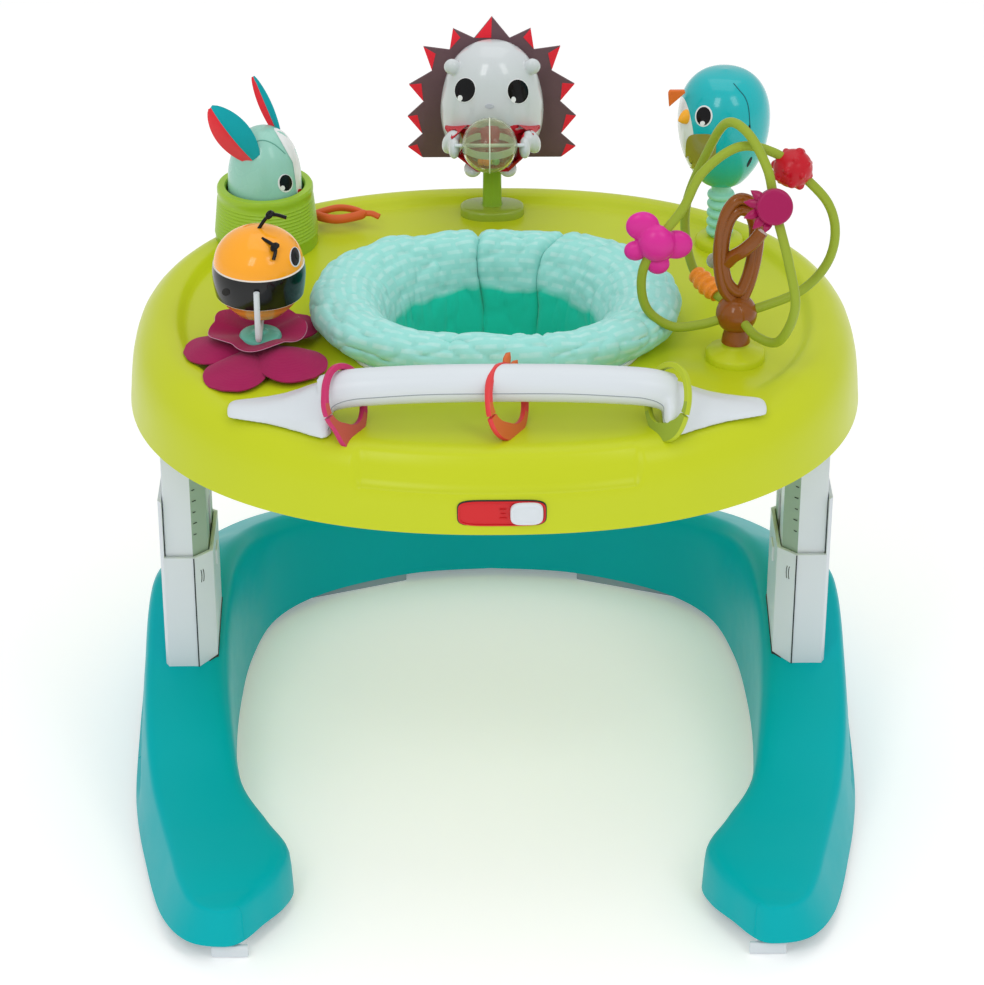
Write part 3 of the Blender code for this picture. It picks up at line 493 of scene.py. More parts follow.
def egg(name, centre, size, material, turn=(0.0, 0.0, 0.0)):
    """An ellipsoid of three half sizes, turned by three angles in degrees."""
    made = turned(name, ball_profile(1.0, 1.0, 24), (0, 0, 0), material, sides=40, sharp=80)
    spin = Matrix.Identity(4)
    for degrees, axis in zip(turn, "XYZ"):
        spin = Matrix.Rotation(math.radians(degrees), 4, axis) @ spin
    made.data.transform(Matrix.Translation(centre) @ spin @ Matrix.Diagonal((*size, 1.0)))
    return made


def squared(angle, power):
    """Cosine and sine of an angle, and how far a superellipse reaches there."""
    c, s = math.cos(angle), math.sin(angle)
    return c, s, (abs(c) ** power + abs(s) ** power) ** (-1 / power)


def rounded_outline(half_x, half_y, power, count, centre=(0.0, 0.0)):
    """A superellipse, counted from +X towards +Y."""
    outline = []
    for i in range(count):
        c, s, reach = squared(2 * math.pi * i / count, power)
        outline.append((centre[0] + half_x * reach * c, centre[1] + half_y * reach * s))
    return outline


def refined(cad_node, name, material, bevel=0.0008, segments=3, sharp=35.0):
    """The shape of a CAD node with its edges rounded over."""
    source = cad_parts[cad_node]
    form = bmesh.new()
    form.from_mesh(source.data)
    bmesh.ops.remove_doubles(form, verts=form.verts, dist=0.00001)
    bmesh.ops.dissolve_limit(form, angle_limit=math.radians(1.0), verts=form.verts,
                             edges=form.edges)
    if bevel:
        edges = [e for e in form.edges
                 if len(e.link_faces) == 2 and e.calc_face_angle(0.0) > math.radians(sharp)]
        bmesh.ops.bevel(form, geom=edges, offset=bevel, segments=segments, profile=0.5,
                        affect="EDGES", clamp_overlap=True)
    mesh = bpy.data.meshes.new(name)
    form.to_mesh(mesh)
    form.free()
    mesh.materials.append(material)
    mesh.shade_smooth()
    mesh.set_sharp_from_angle(angle=math.radians(sharp))
    return placed(name, mesh)


def between(low, high, value):
    """0 below low, 1 above high, eased in between."""
    t = min(max((value - low) / (high - low), 0.0), 1.0)
    return t * t * (3 - 2 * t)


def tree_of(made):
    """The surface of a piece, ready for ray casts."""
    bpy.context.view_layer.update()
    return BVHTree.FromObject(made, bpy.context.evaluated_depsgraph_get())


def landed(tree, spot, lift):
    """Where the line of sight through a spot meets a surface, raised by lift."""
    along = (Vector(spot) - CAMERA).normalized()
    place, normal, _, _ = tree.ray_cast(CAMERA, along)
    if place is None:
        place, normal, _, _ = tree.find_nearest(Vector(spot))
    return place + normal * lift


def patch(name, tree, outline, material, lift=0.0004, rings=5):
    """A thin inlay laid on a surface, from its outline in space."""
    spots = [Vector(p) for p in outline]
    middle = sum(spots, Vector()) / len(spots)
    rows = []
    for k in range(rings + 1):
        rows.append([landed(tree, middle.lerp(p, max(k / rings, 0.002)), lift) for p in spots])
    rows.append([landed(tree, p, -0.0006) for p in spots])
    return solid(name, *skin(rows, capped=False), material, 80.0)


def upright(depth, plan):
    """An outline of (x, z) points at one depth."""
    return [(u, depth, w) for u, w in plan]


def oval(centre, half_x, half_z, count=28, turn=0.0):
    """An upright oval outline about a point."""
    c, s = math.cos(math.radians(turn)), math.sin(math.radians(turn))
    spots = []
    for k in range(count):
        a = 2 * math.pi * k / count
        u, w = half_x * math.cos(a), half_z * math.sin(a)
        spots.append((centre[0] + u * c - w * s, centre[1], centre[2] + u * s + w * c))
    return spots


def line_on(name, tree, path, radius, material, per_span=8):
    """A thin raised or sunken line laid on a surface."""
    run = [landed(tree, p, 0.0) for p in smooth_path(path, per_span)]
    return swept(name, run, radius, material, sides=8)


def joined(name, parts):
    """Several pieces as one, each with its own material."""
    form = bmesh.new()
    materials = []
    for part in parts:
        mark = len(form.faces)
        form.from_mesh(part.data)
        form.faces.ensure_lookup_table()
        moves = []
        for m in part.data.materials:
            if m not in materials:
                materials.append(m)
            moves.append(materials.index(m))
        for face in form.faces[mark:]:
            face.material_index = moves[face.material_index]
        bpy.data.objects.remove(part)
    mesh = bpy.data.meshes.new(name)
    form.to_mesh(mesh)
    form.free()
    for m in materials:
        mesh.materials.append(m)
    return smoothed(placed(name, mesh), 50.0)


def box_at(name, low, high, material, bevel=0.0):
    """A small block, with rounded edges where asked."""
    points = [(x, y, z) for z in (low[2], high[2])
              for x, y in ((low[0], low[1]), (high[0], low[1]), (high[0], high[1]),
                           (low[0], high[1]))]
    made = solid(name, *skin([points[:4], points[4:]]), material, 30.0)
    if bevel:
        modified(made, "BEVEL", width=bevel, segments=3)
        smoothed(made, 40.0)
    return made


# ---------------------------------------------------------------- base
def base_stations(per_span=7):
    """Outer edge, inner edge and top height along one half, from its round nose to the back."""
    outer = smooth_path([(*edge, 0.0) for edge, _, _ in BASE_STATIONS], per_span)
    inner = smooth_path([(*edge, 0.0) for _, edge, _ in BASE_STATIONS], per_span)
    tops = smooth_path([(top, 0.0, 0.0) for _, _, top in BASE_STATIONS], per_span)
    half = [(a.xy, b.xy, t.x) for a, b, t in zip(outer, inner, tops)][per_span:]
    a, b, top = half[0]
    nose = []
    for k in range(NOSE_STEPS, 0, -1):
        t = math.sin(math.pi / 2 * k / (NOSE_STEPS + 0.5))
        edges = []
        for p, before, reach in ((a, half[1][0], 0.020), (b, half[1][1], -0.016)):
            lean = (p - before).normalized() * 0.0155
            knots = (p, p + lean, NOSE_TIP + Vector((reach, 0.0)), NOSE_TIP)
            shares = ((1 - t) ** 3, 3 * t * (1 - t) ** 2, 3 * t * t * (1 - t), t ** 3)
            edges.append(sum((q * w for q, w in zip(knots, shares)), Vector((0.0, 0.0))))
        nose.append((edges[0], edges[1], top - 0.0050 * t ** 5))
    return nose + half


def base_section(outer, inner, top, side):
    """One section: outer wall with its long recess, crowned top and steep inner wall."""
    y = (outer.y + inner.y) / 2
    fall = min(max((outer.y - 0.06) / 0.14, 0.0), 1.0)
    low = BASE_BOTTOM + 0.0065 * (1 - between(-0.340, -0.270, y))
    front = between(-0.150, -0.100, y)
    depth = 0.0075 * front * (1 - between(-0.010, 0.020, y))
    reach = 0.20 + 0.72 * math.sqrt(min(max((y + 0.150) / 0.12, 0.0), 1.0))
    shape = []
    for k in range(17):
        lift = (0.88 - 0.22 * fall) * k / 16
        dip = depth * between(0.13, 0.19, lift) * (1 - between(reach - 0.16, reach - 0.04, lift))
        shape.append((0.125 * k / 16, lift, dip))
    shape += [(0.134, 0.925 - 0.235 * fall, 0), (0.150, 0.960 - 0.245 * fall, 0),
              (0.175, 0.985 - 0.250 * fall, 0), (0.21, 0.997 - 0.240 * fall, 0),
              (0.30, 1.0 - 0.205 * fall, 0), (0.45, 1.004 - 0.145 * fall, 0),
              (0.60, 1.004 - 0.085 * fall, 0), (0.75, 1.0 - 0.030 * fall, 0),
              (0.84, 0.992, 0), (0.90, 0.965, 0), (0.94, 0.92, 0), (0.965, 0.85, 0),
              (0.98, 0.74, 0), (0.99, 0.5, 0), (0.995, 0.25, 0), (1.0, 0.0, 0)]
    across = inner - outer
    inward = across.normalized()
    section = []
    for share, lift, dip in shape:
        spot = outer + across * share + inward * dip
        section.append(Vector((side * spot.x, spot.y, low + lift * (top - low))))
    return section


def make_base(teal, dark):
    """Horseshoe shell, its inner ribs and the painted shade in the gaps round the posts."""
    half = base_stations()
    rings = [base_section(a, b, t, -1) for a, b, t in half]
    rings += [base_section(a, b, t, 1) for a, b, t in half[-2::-1]]
    count = len(rings[0])
    total = len(rings)
    faces = sheet_faces(total, count)
    faces.append(tuple(range(count)))
    faces.append(tuple(range((total - 1) * count, total * count)))
    shell = solid("base_shell", [p for ring in rings for p in ring], faces, teal, 50.0)
    hollowed(shell, 0.003)
    smoothed(shell, 50.0)
    settled(shell, "base", "teal_plastic", "base_frame")

    ribs = []
    for k in range(8, total - 8, 9):
        section = rings[k]
        y = sum(p.y for p in section) / count
        if -0.345 < y < -0.290 or 0.150 < y < 0.260:
            continue
        middle = sum(section, Vector()) / count
        tangent = (rings[k + 1][0] - rings[k - 1][0]).normalized() * 0.0011
        inset = [middle + (p - middle) * 0.975 for p in section]
        ribs.append([[p - tangent for p in inset], [p + tangent for p in inset]])
    points, faces = [], []
    for rib in ribs:
        more, rows = skin(rib)
        faces += [tuple(i + len(points) for i in row) for row in rows]
        points += more
    settled(solid("base_ribs", points, faces, teal, 40.0), "base", "teal_plastic")

    middle_x, middle_y = POST_CENTRE
    for word, side in SIDES:
        # Dark band round each post's foot: painted shade in the gap between post and base.
        rows = []
        for grow, lift in ((1.03, -0.010), (1.03, 0.0004), (0.98, 0.0004), (0.98, -0.010)):
            plan = [(side * (middle_x + (x - middle_x) * grow), middle_y + (y - middle_y) * grow)
                    for x, y in POST_PLAN]
            rows.append([Vector((x, y, base_height(y) + lift)) for x, y in plan])
        columns = len(POST_PLAN)
        faces = [(r * columns + i, r * columns + (i + 1) % columns,
                  (r + 1) % 4 * columns + (i + 1) % columns, (r + 1) % 4 * columns + i)
                 for r in range(4) for i in range(columns)]
        gap = solid("post_painted_shade_" + word, [p for row in rows for p in row], faces, dark, 30.0)
        settled(gap, "base", "pad_rubber")


def base_height(y):
    """Height of the base's top near a post."""
    rows = [(0.5 * (a[1] + b[1]), top) for a, b, top in BASE_STATIONS]
    for (y0, z0), (y1, z1) in zip(rows[4:10], rows[5:11]):
        if y0 <= y <= y1:
            return z0 + (z1 - z0) * (y - y0) / (y1 - y0)
    return rows[8][1]


def make_running_gear(white, grey, rubber, steel):
    """Pads, near wheels with their brackets, and far casters."""
    for word, side in SIDES:
        x = side * 0.2390
        bracket = box_at("toe_bracket_" + word, (x - 0.0165, -0.3520, 0.0008),
                         (x + 0.0165, -0.3475, 0.0130), white, 0.0012)
        settled(bracket, "base", "white_plastic")
        settled(refined("friction_pad_" + word, "pad_" + word, rubber, 0.0012), "base",
                "pad_rubber", "friction_pad_" + word)
        settled(refined("near_wheel_" + word, "wheel_near_" + word, white, 0.0010),
                "near_wheel_" + word, "white_plastic", "near_wheel_" + word)
        settled(refined("near_axle_" + word, "axle_near_" + word, steel, 0.0003), "base",
                "steel", "near_axle_" + word)
        settled(refined("caster_fork_" + word, "fork_" + word, grey, 0.0010),
                "caster_" + word, "grey_plastic", "caster_fork_" + word)
        settled(refined("caster_axle_" + word, "axle_caster_" + word, steel, 0.0003),
                "caster_" + word, "steel", "caster_axle_" + word)
        settled(refined("caster_wheel_" + word, "wheel_caster_" + word, white, 0.0010),
                "caster_wheel_" + word, "white_plastic", "caster_wheel_" + word)


# ---------------------------------------------------------------- posts
def make_posts(white, tint, dark):
    """Sleeves, inner posts with height marks, and the height buttons."""
    for word, side in SIDES:
        lower = refined("lower_post_" + word, "sleeve_" + word, white, 0.0014)
        settled(lower, "base", "white_plastic", "lower_post_" + word)
        upper = refined("upper_post_" + word, "post_" + word, white, 0.0010)
        # The inner chamfer faces high on the post take a green grey: painted reflection of the lime
        # tray above and painted shade under it.
        upper.data.materials.append(tint)
        facing = Vector((-side, -0.75, 0.0)).normalized()
        for face in upper.data.polygons:
            if face.normal.dot(facing) > 0.78 and face.center.z > 0.235:
                face.material_index = 1
        settled(upper, "tray", "white_plastic", "upper_post_" + word)
        settled(refined("height_button_" + word, "button_" + word, white, 0.0010),
                "button_" + word, "white_plastic", "height_button_" + word)
        marks = []
        corner = Vector((side * 0.2800, -0.0573, 0.0))
        along = Vector((-side * 0.0125, 0.0117, 0.0)).normalized()
        outward = Vector((-side * 0.683, -0.730, 0.0))
        for k in range(12):
            z = 0.262 + 0.0118 * k
            length = 0.0042 if k % 2 else 0.0030
            start = corner + along * 0.0012 + outward * 0.0001 + Vector((0, 0, z))
            marks.append(swept("mark", [start, start + along * length], 0.0004, dark, sides=6))
        settled(joined("height_marks_" + word, marks), "tray", "pad_rubber")
        x = side * 0.2793
        seam = box_at("sleeve_seam_" + word, (min(x, x + side * 0.0011), -0.0627, 0.102),
                      (max(x, x + side * 0.0011), -0.0600, 0.2395), dark)
        settled(seam, "base", "pad_rubber")
        arcs = []
        for shift in (0.0, 0.0026):
            run = []
            for k in range(9):
                a = math.radians(-52 + 104 * k / 8)
                reach = 0.0050 + shift + 0.0022 * math.cos(a)
                run.append(Vector((side * 0.2792, -0.0620, 0.2180 + 0.0085 * math.sin(a)))
                           + along * (reach + 0.0004) + outward * 0.0001)
            arcs.append(swept("arc", run, 0.00045, dark, sides=6))
        settled(joined("grip_arcs_" + word, arcs), "base", "pad_rubber")


# ---------------------------------------------------------------- tray
SHOULDER = ((0.0, 0.3850), (0.0008, 0.3940), (0.0015, 0.4030), (0.0024, 0.4120),
            (0.0036, 0.4215), (0.0055, 0.4300), (0.0085, 0.4385), (0.0125, 0.4450),
            (0.0170, 0.4495), (0.0220, 0.4525), (0.0270, 0.4542), (0.0320, 0.4550))
SCOOP = ((0.0, 0.3850), (0.0008, 0.3940), (0.0014, 0.4030), (0.0019, 0.4120),
         (0.0024, 0.4212), (0.0031, 0.4228), (0.0062, 0.4236), (0.0100, 0.4300),
         (0.0140, 0.4400), (0.0185, 0.4490), (0.0225, 0.4530), (0.0300, 0.4550))
DECK_INSETS = (0.036, 0.040, 0.044, 0.047, 0.050, 0.053, 0.056, 0.060, 0.066)
HOLE_SHARES = (0.12, 0.28, 0.45, 0.62, 0.76, 0.87, 0.94, 1.0)
RIM_RISE = 0.0040
DECK_DROP = 0.0030


def tray_spot(angle, inset):
    """A point on the tray's outline, moved in by an inset."""
    c, s, reach = squared(angle, TRAY_POWER)
    return Vector(((TRAY_HALF[0] - inset) * reach * c,
                   TRAY_CENTRE_Y + (TRAY_HALF[1] - inset) * reach * s))


def rim_weight(angle):
    """1 round the sides and back, 0 at the front between the push bar's wings."""
    degrees = math.degrees(angle) % 360
    away = abs(degrees - 270)
    return between(48, 60, away)


def make_tray(lime):
    """The top, with its rim, sunk deck, front scoop and seat hole, and the underside."""
    count = 320
    angles = {2 * math.pi * i / count for i in range(count)}
    for turn in (-1, 1):
        angles |= {math.radians(270 + turn * (20.0 + 0.4 * k)) for k in range(22)}
    columns = []
    for angle in sorted(angles):
        weight = rim_weight(angle)
        edge = tray_spot(angle, 0.0)
        scoop = (1 - between(0.119, 0.131, abs(edge.x))) if edge.y < 0 else 0.0
        column = []
        for (d0, z0), (d1, z1) in zip(SHOULDER, SCOOP):
            inset = d0 + (d1 - d0) * scoop
            height = z0 + (z1 - z0) * scoop
            height += weight * RIM_RISE * between(0.012, 0.032, inset)
            column.append((*tray_spot(angle, inset), height))
        for inset in DECK_INSETS:
            fall = between(0.043, 0.055, inset)
            height = TRAY_TOP + weight * (RIM_RISE * (1 - fall) - DECK_DROP * fall)
            column.append((*tray_spot(angle, inset), height))
        start = tray_spot(angle, DECK_INSETS[-1])
        out = Vector((0.0, SEAT_CENTRE_Y))
        heading = (start - out).normalized()
        hole = out + heading * (SEAT_HOLE_R + 0.001)
        for share in HOLE_SHARES:
            spot = start.lerp(hole, share)
            near = between(0.150, 0.162, (spot - out).length)
            column.append((*spot, TRAY_TOP - weight * DECK_DROP * near))
        for radius, height in ((SEAT_HOLE_R + 0.0002, 0.4544), (SEAT_HOLE_R, 0.4530),
                               (SEAT_HOLE_R, 0.4350)):
            column.append((*(out + heading * radius), height))
        columns.append(column)
    rings = [list(row) for row in zip(*columns)]
    shell = solid("tray_shell", *skin(rings, capped=False), lime, 50.0)
    hollowed(shell, 0.0028)
    smoothed(shell, 50.0)
    settled(shell, "tray", "lime_plastic", "tray_top")
    settled(refined("tray_bottom", "tray_underside", lime, 0.0006), "tray", "lime_plastic",
            "tray_bottom")


def make_slider(red, white, dark):
    """Mode switch: a plate bent to the skirt and its knob."""
    spot = (0.0030, SLOT_Z + 0.0016)
    rim = rounded_outline(0.0382, 0.0128, 5.0, 64, spot)
    face = rounded_outline(0.0374, 0.0120, 5.0, 64, spot)
    well = rounded_outline(0.0360, 0.0106, 5.0, 64, spot)

    def ring(plan, depth):
        return [(x, -depth + SKIRT_CURVE * x * x, z) for x, z in plan]

    plate = solid("slider_face", *skin([ring(face, 0.2600), ring(face, 0.2664),
                                        ring(well, 0.2668), ring(well, 0.2660)]), red, 30.0)
    settled(plate, "tray", "red_plastic", "slider_plate")
    # Thin dark band round the plate: painted shade in the gap between plate and slot.
    slider_shade_ring = solid("slider_gap", *skin([ring(rim, 0.2600), ring(rim, 0.2657),
                                        ring(face, 0.2657)]), dark, 30.0)
    settled(slider_shade_ring, "tray", "pad_rubber")
    x = 0.0242
    rows = []
    for half_x, half_z, depth in ((0.0140, 0.0102, 0.2668), (0.0140, 0.0102, 0.2698),
                                  (0.0136, 0.0098, 0.2706), (0.0127, 0.0089, 0.2710),
                                  (0.0114, 0.0076, 0.2708), (0.0106, 0.0068, 0.2703),
                                  (0.0060, 0.0036, 0.2702)):
        plan = rounded_outline(half_x, half_z, 3.6, 48, (x, SLOT_Z + 0.0026))
        rows.append([(u, -depth + SKIRT_CURVE * u * u, w) for u, w in plan])
    knob = solid("slider_knob", *skin(rows), white, 40.0)
    settled(knob, "slider", "white_plastic", "mode_slider")
    marks = []
    for k, z in enumerate((0.4098, 0.4056, 0.4014)):
        spot = Vector((0.0040, -0.2664, z))
        wide = 0.0030 - 0.0008 * (k % 2)
        marks.append(swept("mark", [spot - Vector((wide, 0, 0)), spot + Vector((wide, 0, 0))],
                           0.0005, red, sides=8))
    settled(joined("slider_marks", marks), "tray", "red_plastic")


# ---------------------------------------------------------------- push bar
def bar_path(per_span=10):
    """Centre line of the push bar."""
    right = ((0.0, BAR_Y, BAR_Z - 0.0025), (0.060, BAR_Y, BAR_Z - 0.0032),
             (0.105, BAR_Y + 0.0005, BAR_Z - 0.0055), (0.132, BAR_Y + 0.002, BAR_Z - 0.0090),
             (0.149, BAR_Y + 0.004, BAR_Z - 0.0150))
    run = [(-x, y, z) for x, y, z in right[:0:-1]] + list(right)
    return smooth_path(run, per_span)


def make_push_bar(white, dark):
    """Bar and its two wedge-shaped ends as one moulding, with its seam line."""
    parts = [swept("bar", bar_path(), BAR_R, white, sides=36)]
    for _, side in SIDES:
        rows = ((0.2345, -0.1680, -0.1780, 0.0020), (0.2330, -0.1600, -0.1840, 0.0035),
                (0.2290, -0.1555, -0.1870, 0.0048), (0.2150, -0.1535, -0.1915, 0.0066),
                (0.2000, -0.1520, -0.1965, 0.0092), (0.1850, -0.1500, -0.2040, 0.0138),
                (0.1720, -0.1480, -0.2110, 0.0205), (0.1610, -0.1480, -0.2180, 0.0285),
                (0.1520, -0.1500, -0.2230, 0.0350), (0.1460, -0.1560, -0.2225, 0.0365),
                (0.1420, -0.1660, -0.2160, 0.0320))
        rings = []
        for x, far, near, height in rows:
            ring = [(side * x, near + (far - near) * k / 14, TRAY_TOP + 0.0002)
                    for k in range(15)]
            for k in range(21):
                t = 1 - k / 20
                edge = min(1.0, (1 - abs(2 * t - 1) ** 5)) ** 0.5
                hump = 0.65 + 0.35 * math.exp(-((t - 0.42) / 0.30) ** 2)
                ring.append((side * x, near + (far - near) * t,
                             TRAY_TOP + 0.0012 + height * hump * edge))
            rings.append(ring)
        parts.append(solid("wing", *skin(rings), white, 60.0))
    bar = merged("push_bar", parts, white, 0.0017, 12)
    settled(bar, "tray", "white_plastic", "push_bar_lower", "push_bar_upper")
    tree = tree_of(bar)
    lines = []
    right = ((0.0, -0.2113, 0.4920), (0.060, -0.2113, 0.4915), (0.110, -0.2110, 0.4880),
             (0.128, -0.2105, 0.4850), (0.139, -0.2105, 0.4790), (0.146, -0.2115, 0.4700),
             (0.150, -0.2170, 0.4590))
    run = [(-x, y, z) for x, y, z in right[:0:-1]] + list(right)
    path = [tree.find_nearest(p)[0] for p in smooth_path(run, 10)]
    lines.append(swept("seam", path, 0.00042, dark, sides=6))
    settled(joined("push_bar_seam", lines), "tray", "grey_plastic")


def make_link(name, x, colour, inside, side, bulge, prongs):
    """A flat split ring that hangs over the bar, turned a little towards one side."""
    lean = math.radians(50)
    twist = math.radians(38) * side
    along = Vector((0.0, -math.cos(lean), -math.sin(lean)))
    across = (Vector((0.0, -math.sin(lean), math.cos(lean))) * math.cos(twist)
              + Vector((1.0, 0.0, 0.0)) * math.sin(twist))
    normal = along.cross(across).normalized()
    centre = Vector((x, BAR_Y, BAR_Z - 0.0060)) + along * 0.0120
    half = 0.0026
    gap_at = math.radians(52)
    rings = []
    count = 96
    for k in range(count + 1):
        a = gap_at + 0.035 + (2 * math.pi - 0.07) * k / count
        c, s = math.cos(a), math.sin(a)
        near = (abs(c / 0.0270) ** 2.2 + abs(s / 0.0228) ** 2.2) ** (-1 / 2.2)
        if c > 0:
            near -= 0.0075 * c ** 3
        far = near + 0.0056 + bulge(math.degrees(a))
        section = []
        for r, h in ((near, -0.6), (near + 0.0006, -1.0), (far - 0.0006, -1.0), (far, -0.6),
                     (far, 0.6), (far - 0.0006, 1.0), (near + 0.0006, 1.0), (near, 0.6)):
            section.append(centre + along * (r * c) + across * (r * s) + normal * (h * half))
        rings.append(section)
    made = solid(name, *skin(rings), colour, 35.0)
    made.data.materials.append(inside)
    facing = normal if normal.y < 0 else -normal
    for face in made.data.polygons:
        if face.normal.dot(facing) > 0.8 and (face.center - centre).dot(along) > 0.006:
            face.material_index = 1
    parts = [made]
    for shift, rise, lean_over in prongs:
        root = centre - along * 0.0290 + across * shift
        tip = root - along * rise + across * lean_over
        leaf = []
        for k in range(9):
            t = k / 8
            wide = 0.0048 * math.sin(math.pi * (0.12 + 0.86 * t)) ** 0.8
            spot = root.lerp(tip, t)
            leaf.append([spot + across * (wide * math.cos(b)) + normal * (0.0026 * math.sin(b))
                         for b in (math.pi * n / 8 for n in range(16))])
        parts.append(solid("leaf", *skin(leaf), inside, 60.0))
    return joined(name, parts)


def make_links(magenta, magenta_in, red, red_in, green, green_in):
    """Three split links, each with its own lower edge."""
    def pointed(a):
        return 0.0165 * max(math.cos(math.radians(a + 14)), 0.0) ** 9 + 0.003 * max(
            math.cos(math.radians(a)), 0.0)

    def rounded(a):
        return 0.0105 * max(math.cos(math.radians(a - 4)), 0.0) ** 3

    def broad(a):
        return 0.0120 * max(math.cos(math.radians(a)), 0.0) ** 4

    rows = (("link_left", -0.131, magenta, magenta_in, -1, pointed, (), "magenta_plastic"),
            ("link_centre", 0.008, red, red_in, -1, rounded,
             ((0.0010, 0.0130, -0.0030), (-0.0085, 0.0080, -0.0040)), "link_red"),
            ("link_right", 0.146, green, green_in, 1, broad, (), "link_green"))
    for name, x, colour, inside, side, bulge, prongs, slot in rows:
        made = make_link(name + "_ring", x, colour, inside, side, bulge, prongs)
        settled(made, name, slot, name)


# ---------------------------------------------------------------- seat
TUCKS = ((97, 1.0, 1.6), (66, 0.9, 1.5), (118, 0.20, 1.4), (44, 0.25, 1.4), (-104, 0.30, 1.3),
         (-72, 0.42, 1.3), (150, 0.18, 1.5), (22, 0.20, 1.5), (-150, 0.15, 1.6),
         (-28, 0.18, 1.6))


def seat_profile():
    """Half sizes (x, y), height and how soft the cloth is, from the ring over the rim and in."""
    return ((0.1240, 0.1210, 0.4600, 0.0), (0.1490, 0.1220, 0.4585, 0.1),
            (0.1610, 0.1245, 0.4640, 0.5), (0.1660, 0.1255, 0.4730, 0.9),
            (0.1650, 0.1240, 0.4820, 1.0), (0.1590, 0.1195, 0.4900, 1.0),
            (0.1480, 0.1125, 0.4950, 1.0), (0.1335, 0.1045, 0.4955, 1.0),
            (0.1190, 0.0960, 0.4900, 1.0), (0.1070, 0.0890, 0.4790, 1.0),
            (0.0990, 0.0845, 0.4640, 0.9), (0.0945, 0.0828, 0.4450, 0.7),
            (0.0925, 0.0822, 0.4200, 0.5), (0.0910, 0.0818, 0.3900, 0.4),
            (0.0890, 0.0810, 0.3500, 0.3), (0.0850, 0.0760, 0.3150, 0.2),
            (0.0740, 0.0640, 0.2930, 0.1), (0.0450, 0.0390, 0.2860, 0.1),
            (0.0030, 0.0030, 0.2850, 0.0))


def make_seat(cloth_material, plain, white):
    """Tucked cloth from the rim down to the leg openings, and the seat ring."""
    columns = 300
    profile = smooth_path([Vector((x, y, z)) for x, y, z, _ in seat_profile()], 5)
    soft = smooth_path([Vector((s, 0.0, 0.0)) for _, _, _, s in seat_profile()], 5)
    run = [0.0]
    for a, b in zip(profile, profile[1:]):
        run.append(run[-1] + math.hypot(b.x - a.x, b.z - a.z))
    rings = []
    for k, (size, amount) in enumerate(zip(profile, soft)):
        ahead = profile[min(k + 1, len(profile) - 1)]
        behind = profile[max(k - 1, 0)]
        slope = Vector((ahead.x - behind.x, ahead.z - behind.z)).normalized()
        outward = Vector((slope.y, -slope.x))
        ring = []
        for i in range(columns):
            angle = 2 * math.pi * i / columns
            c, s, reach = squared(angle, 2.0 + 0.35 * between(0.455, 0.49, size.z))
            spot = Vector((size.x * reach * c, SEAT_CENTRE_Y + size.y * reach * s, size.z))
            lift = seat_puff(math.degrees(angle), run[k], spot) * max(amount.x, 0.0)
            spot += Vector((c * outward.x, s * outward.x, outward.y)) * lift
            ring.append(spot)
        rings.append(ring)
    points, faces = skin(rings, capped=False)
    made = solid("seat_cloth", points, faces, cloth_material, 80.0)
    uv = made.data.uv_layers.new(name="cloth")
    around = {}
    for polygon in made.data.polygons:
        for corner in polygon.loop_indices:
            spot = made.data.vertices[made.data.loops[corner].vertex_index].co
            turn = math.atan2((spot.y - SEAT_CENTRE_Y) / 0.82, spot.x)
            around[corner] = turn
        turns = [around[c] for c in polygon.loop_indices]
        if max(turns) - min(turns) > math.pi:
            for c in polygon.loop_indices:
                if around[c] < 0:
                    around[c] += 2 * math.pi
    nearest = {tuple(round(v, 5) for v in p): run[n // columns] for n, p in enumerate(points)}
    for polygon in made.data.polygons:
        for corner in polygon.loop_indices:
            spot = made.data.vertices[made.data.loops[corner].vertex_index].co
            key = tuple(round(v, 5) for v in spot)
            uv.data[corner].uv = (around[corner] * 0.128, nearest.get(key, 0.0))
    modified(made, "SOLIDIFY", thickness=0.0022, offset=1.0)
    smoothed(made, 80.0)
    for _, side in SIDES:
        tool = turned("leg", [(0.0, -0.10), (0.034, -0.10), (0.034, 0.020), (0.0, 0.020)],
                      (side * 0.046, SEAT_CENTRE_Y - 0.040, 0.3300), plain, sides=40)
        modified(made, "BOOLEAN", operation="DIFFERENCE", object=tool, solver="FAST")
        bpy.data.objects.remove(tool)
    smoothed(made, 80.0)
    settled(made, "seat", "seat_cloth", "seat_fabric")
    settled(refined("seat_ring", "seat_ring_moulding", white, 0.0006), "seat", "white_plastic",
            "seat_ring")


def seat_puff(degrees, along, spot):
    """How far the seat cloth stands out from its plain shape: puffs, tucks and fine wrinkles."""
    lift = 0.0
    for place, depth, width in TUCKS:
        away = (degrees - place + 180) % 360 - 180
        away += 1.6 * math.sin(along * 60 + place)
        reach = between(0.035, 0.060, along)
        lift -= 0.0080 * depth * reach * math.exp(-(away / width) ** 2)
        lift += 0.0010 * depth * reach * math.exp(-((away - 4) / 3) ** 2)
    lift += 0.0026 * noise.noise(spot * 14.0)
    lift += 0.0024 * noise.noise(Vector((spot.x * 38, spot.y * 38, spot.z * 22 + 3.0)))
    ridge = 1 - abs(noise.noise(Vector((spot.x * 60, spot.y * 60, spot.z * 30 + 9.0)))) * 2
    lift -= 0.0020 * max(ridge, 0.0) ** 4
    crease = 1 - abs(noise.noise(Vector((spot.x * 34, spot.y * 34, spot.z * 50 + 5.0)))) * 2
    lift -= 0.0022 * max(crease, 0.0) ** 6
    return lift


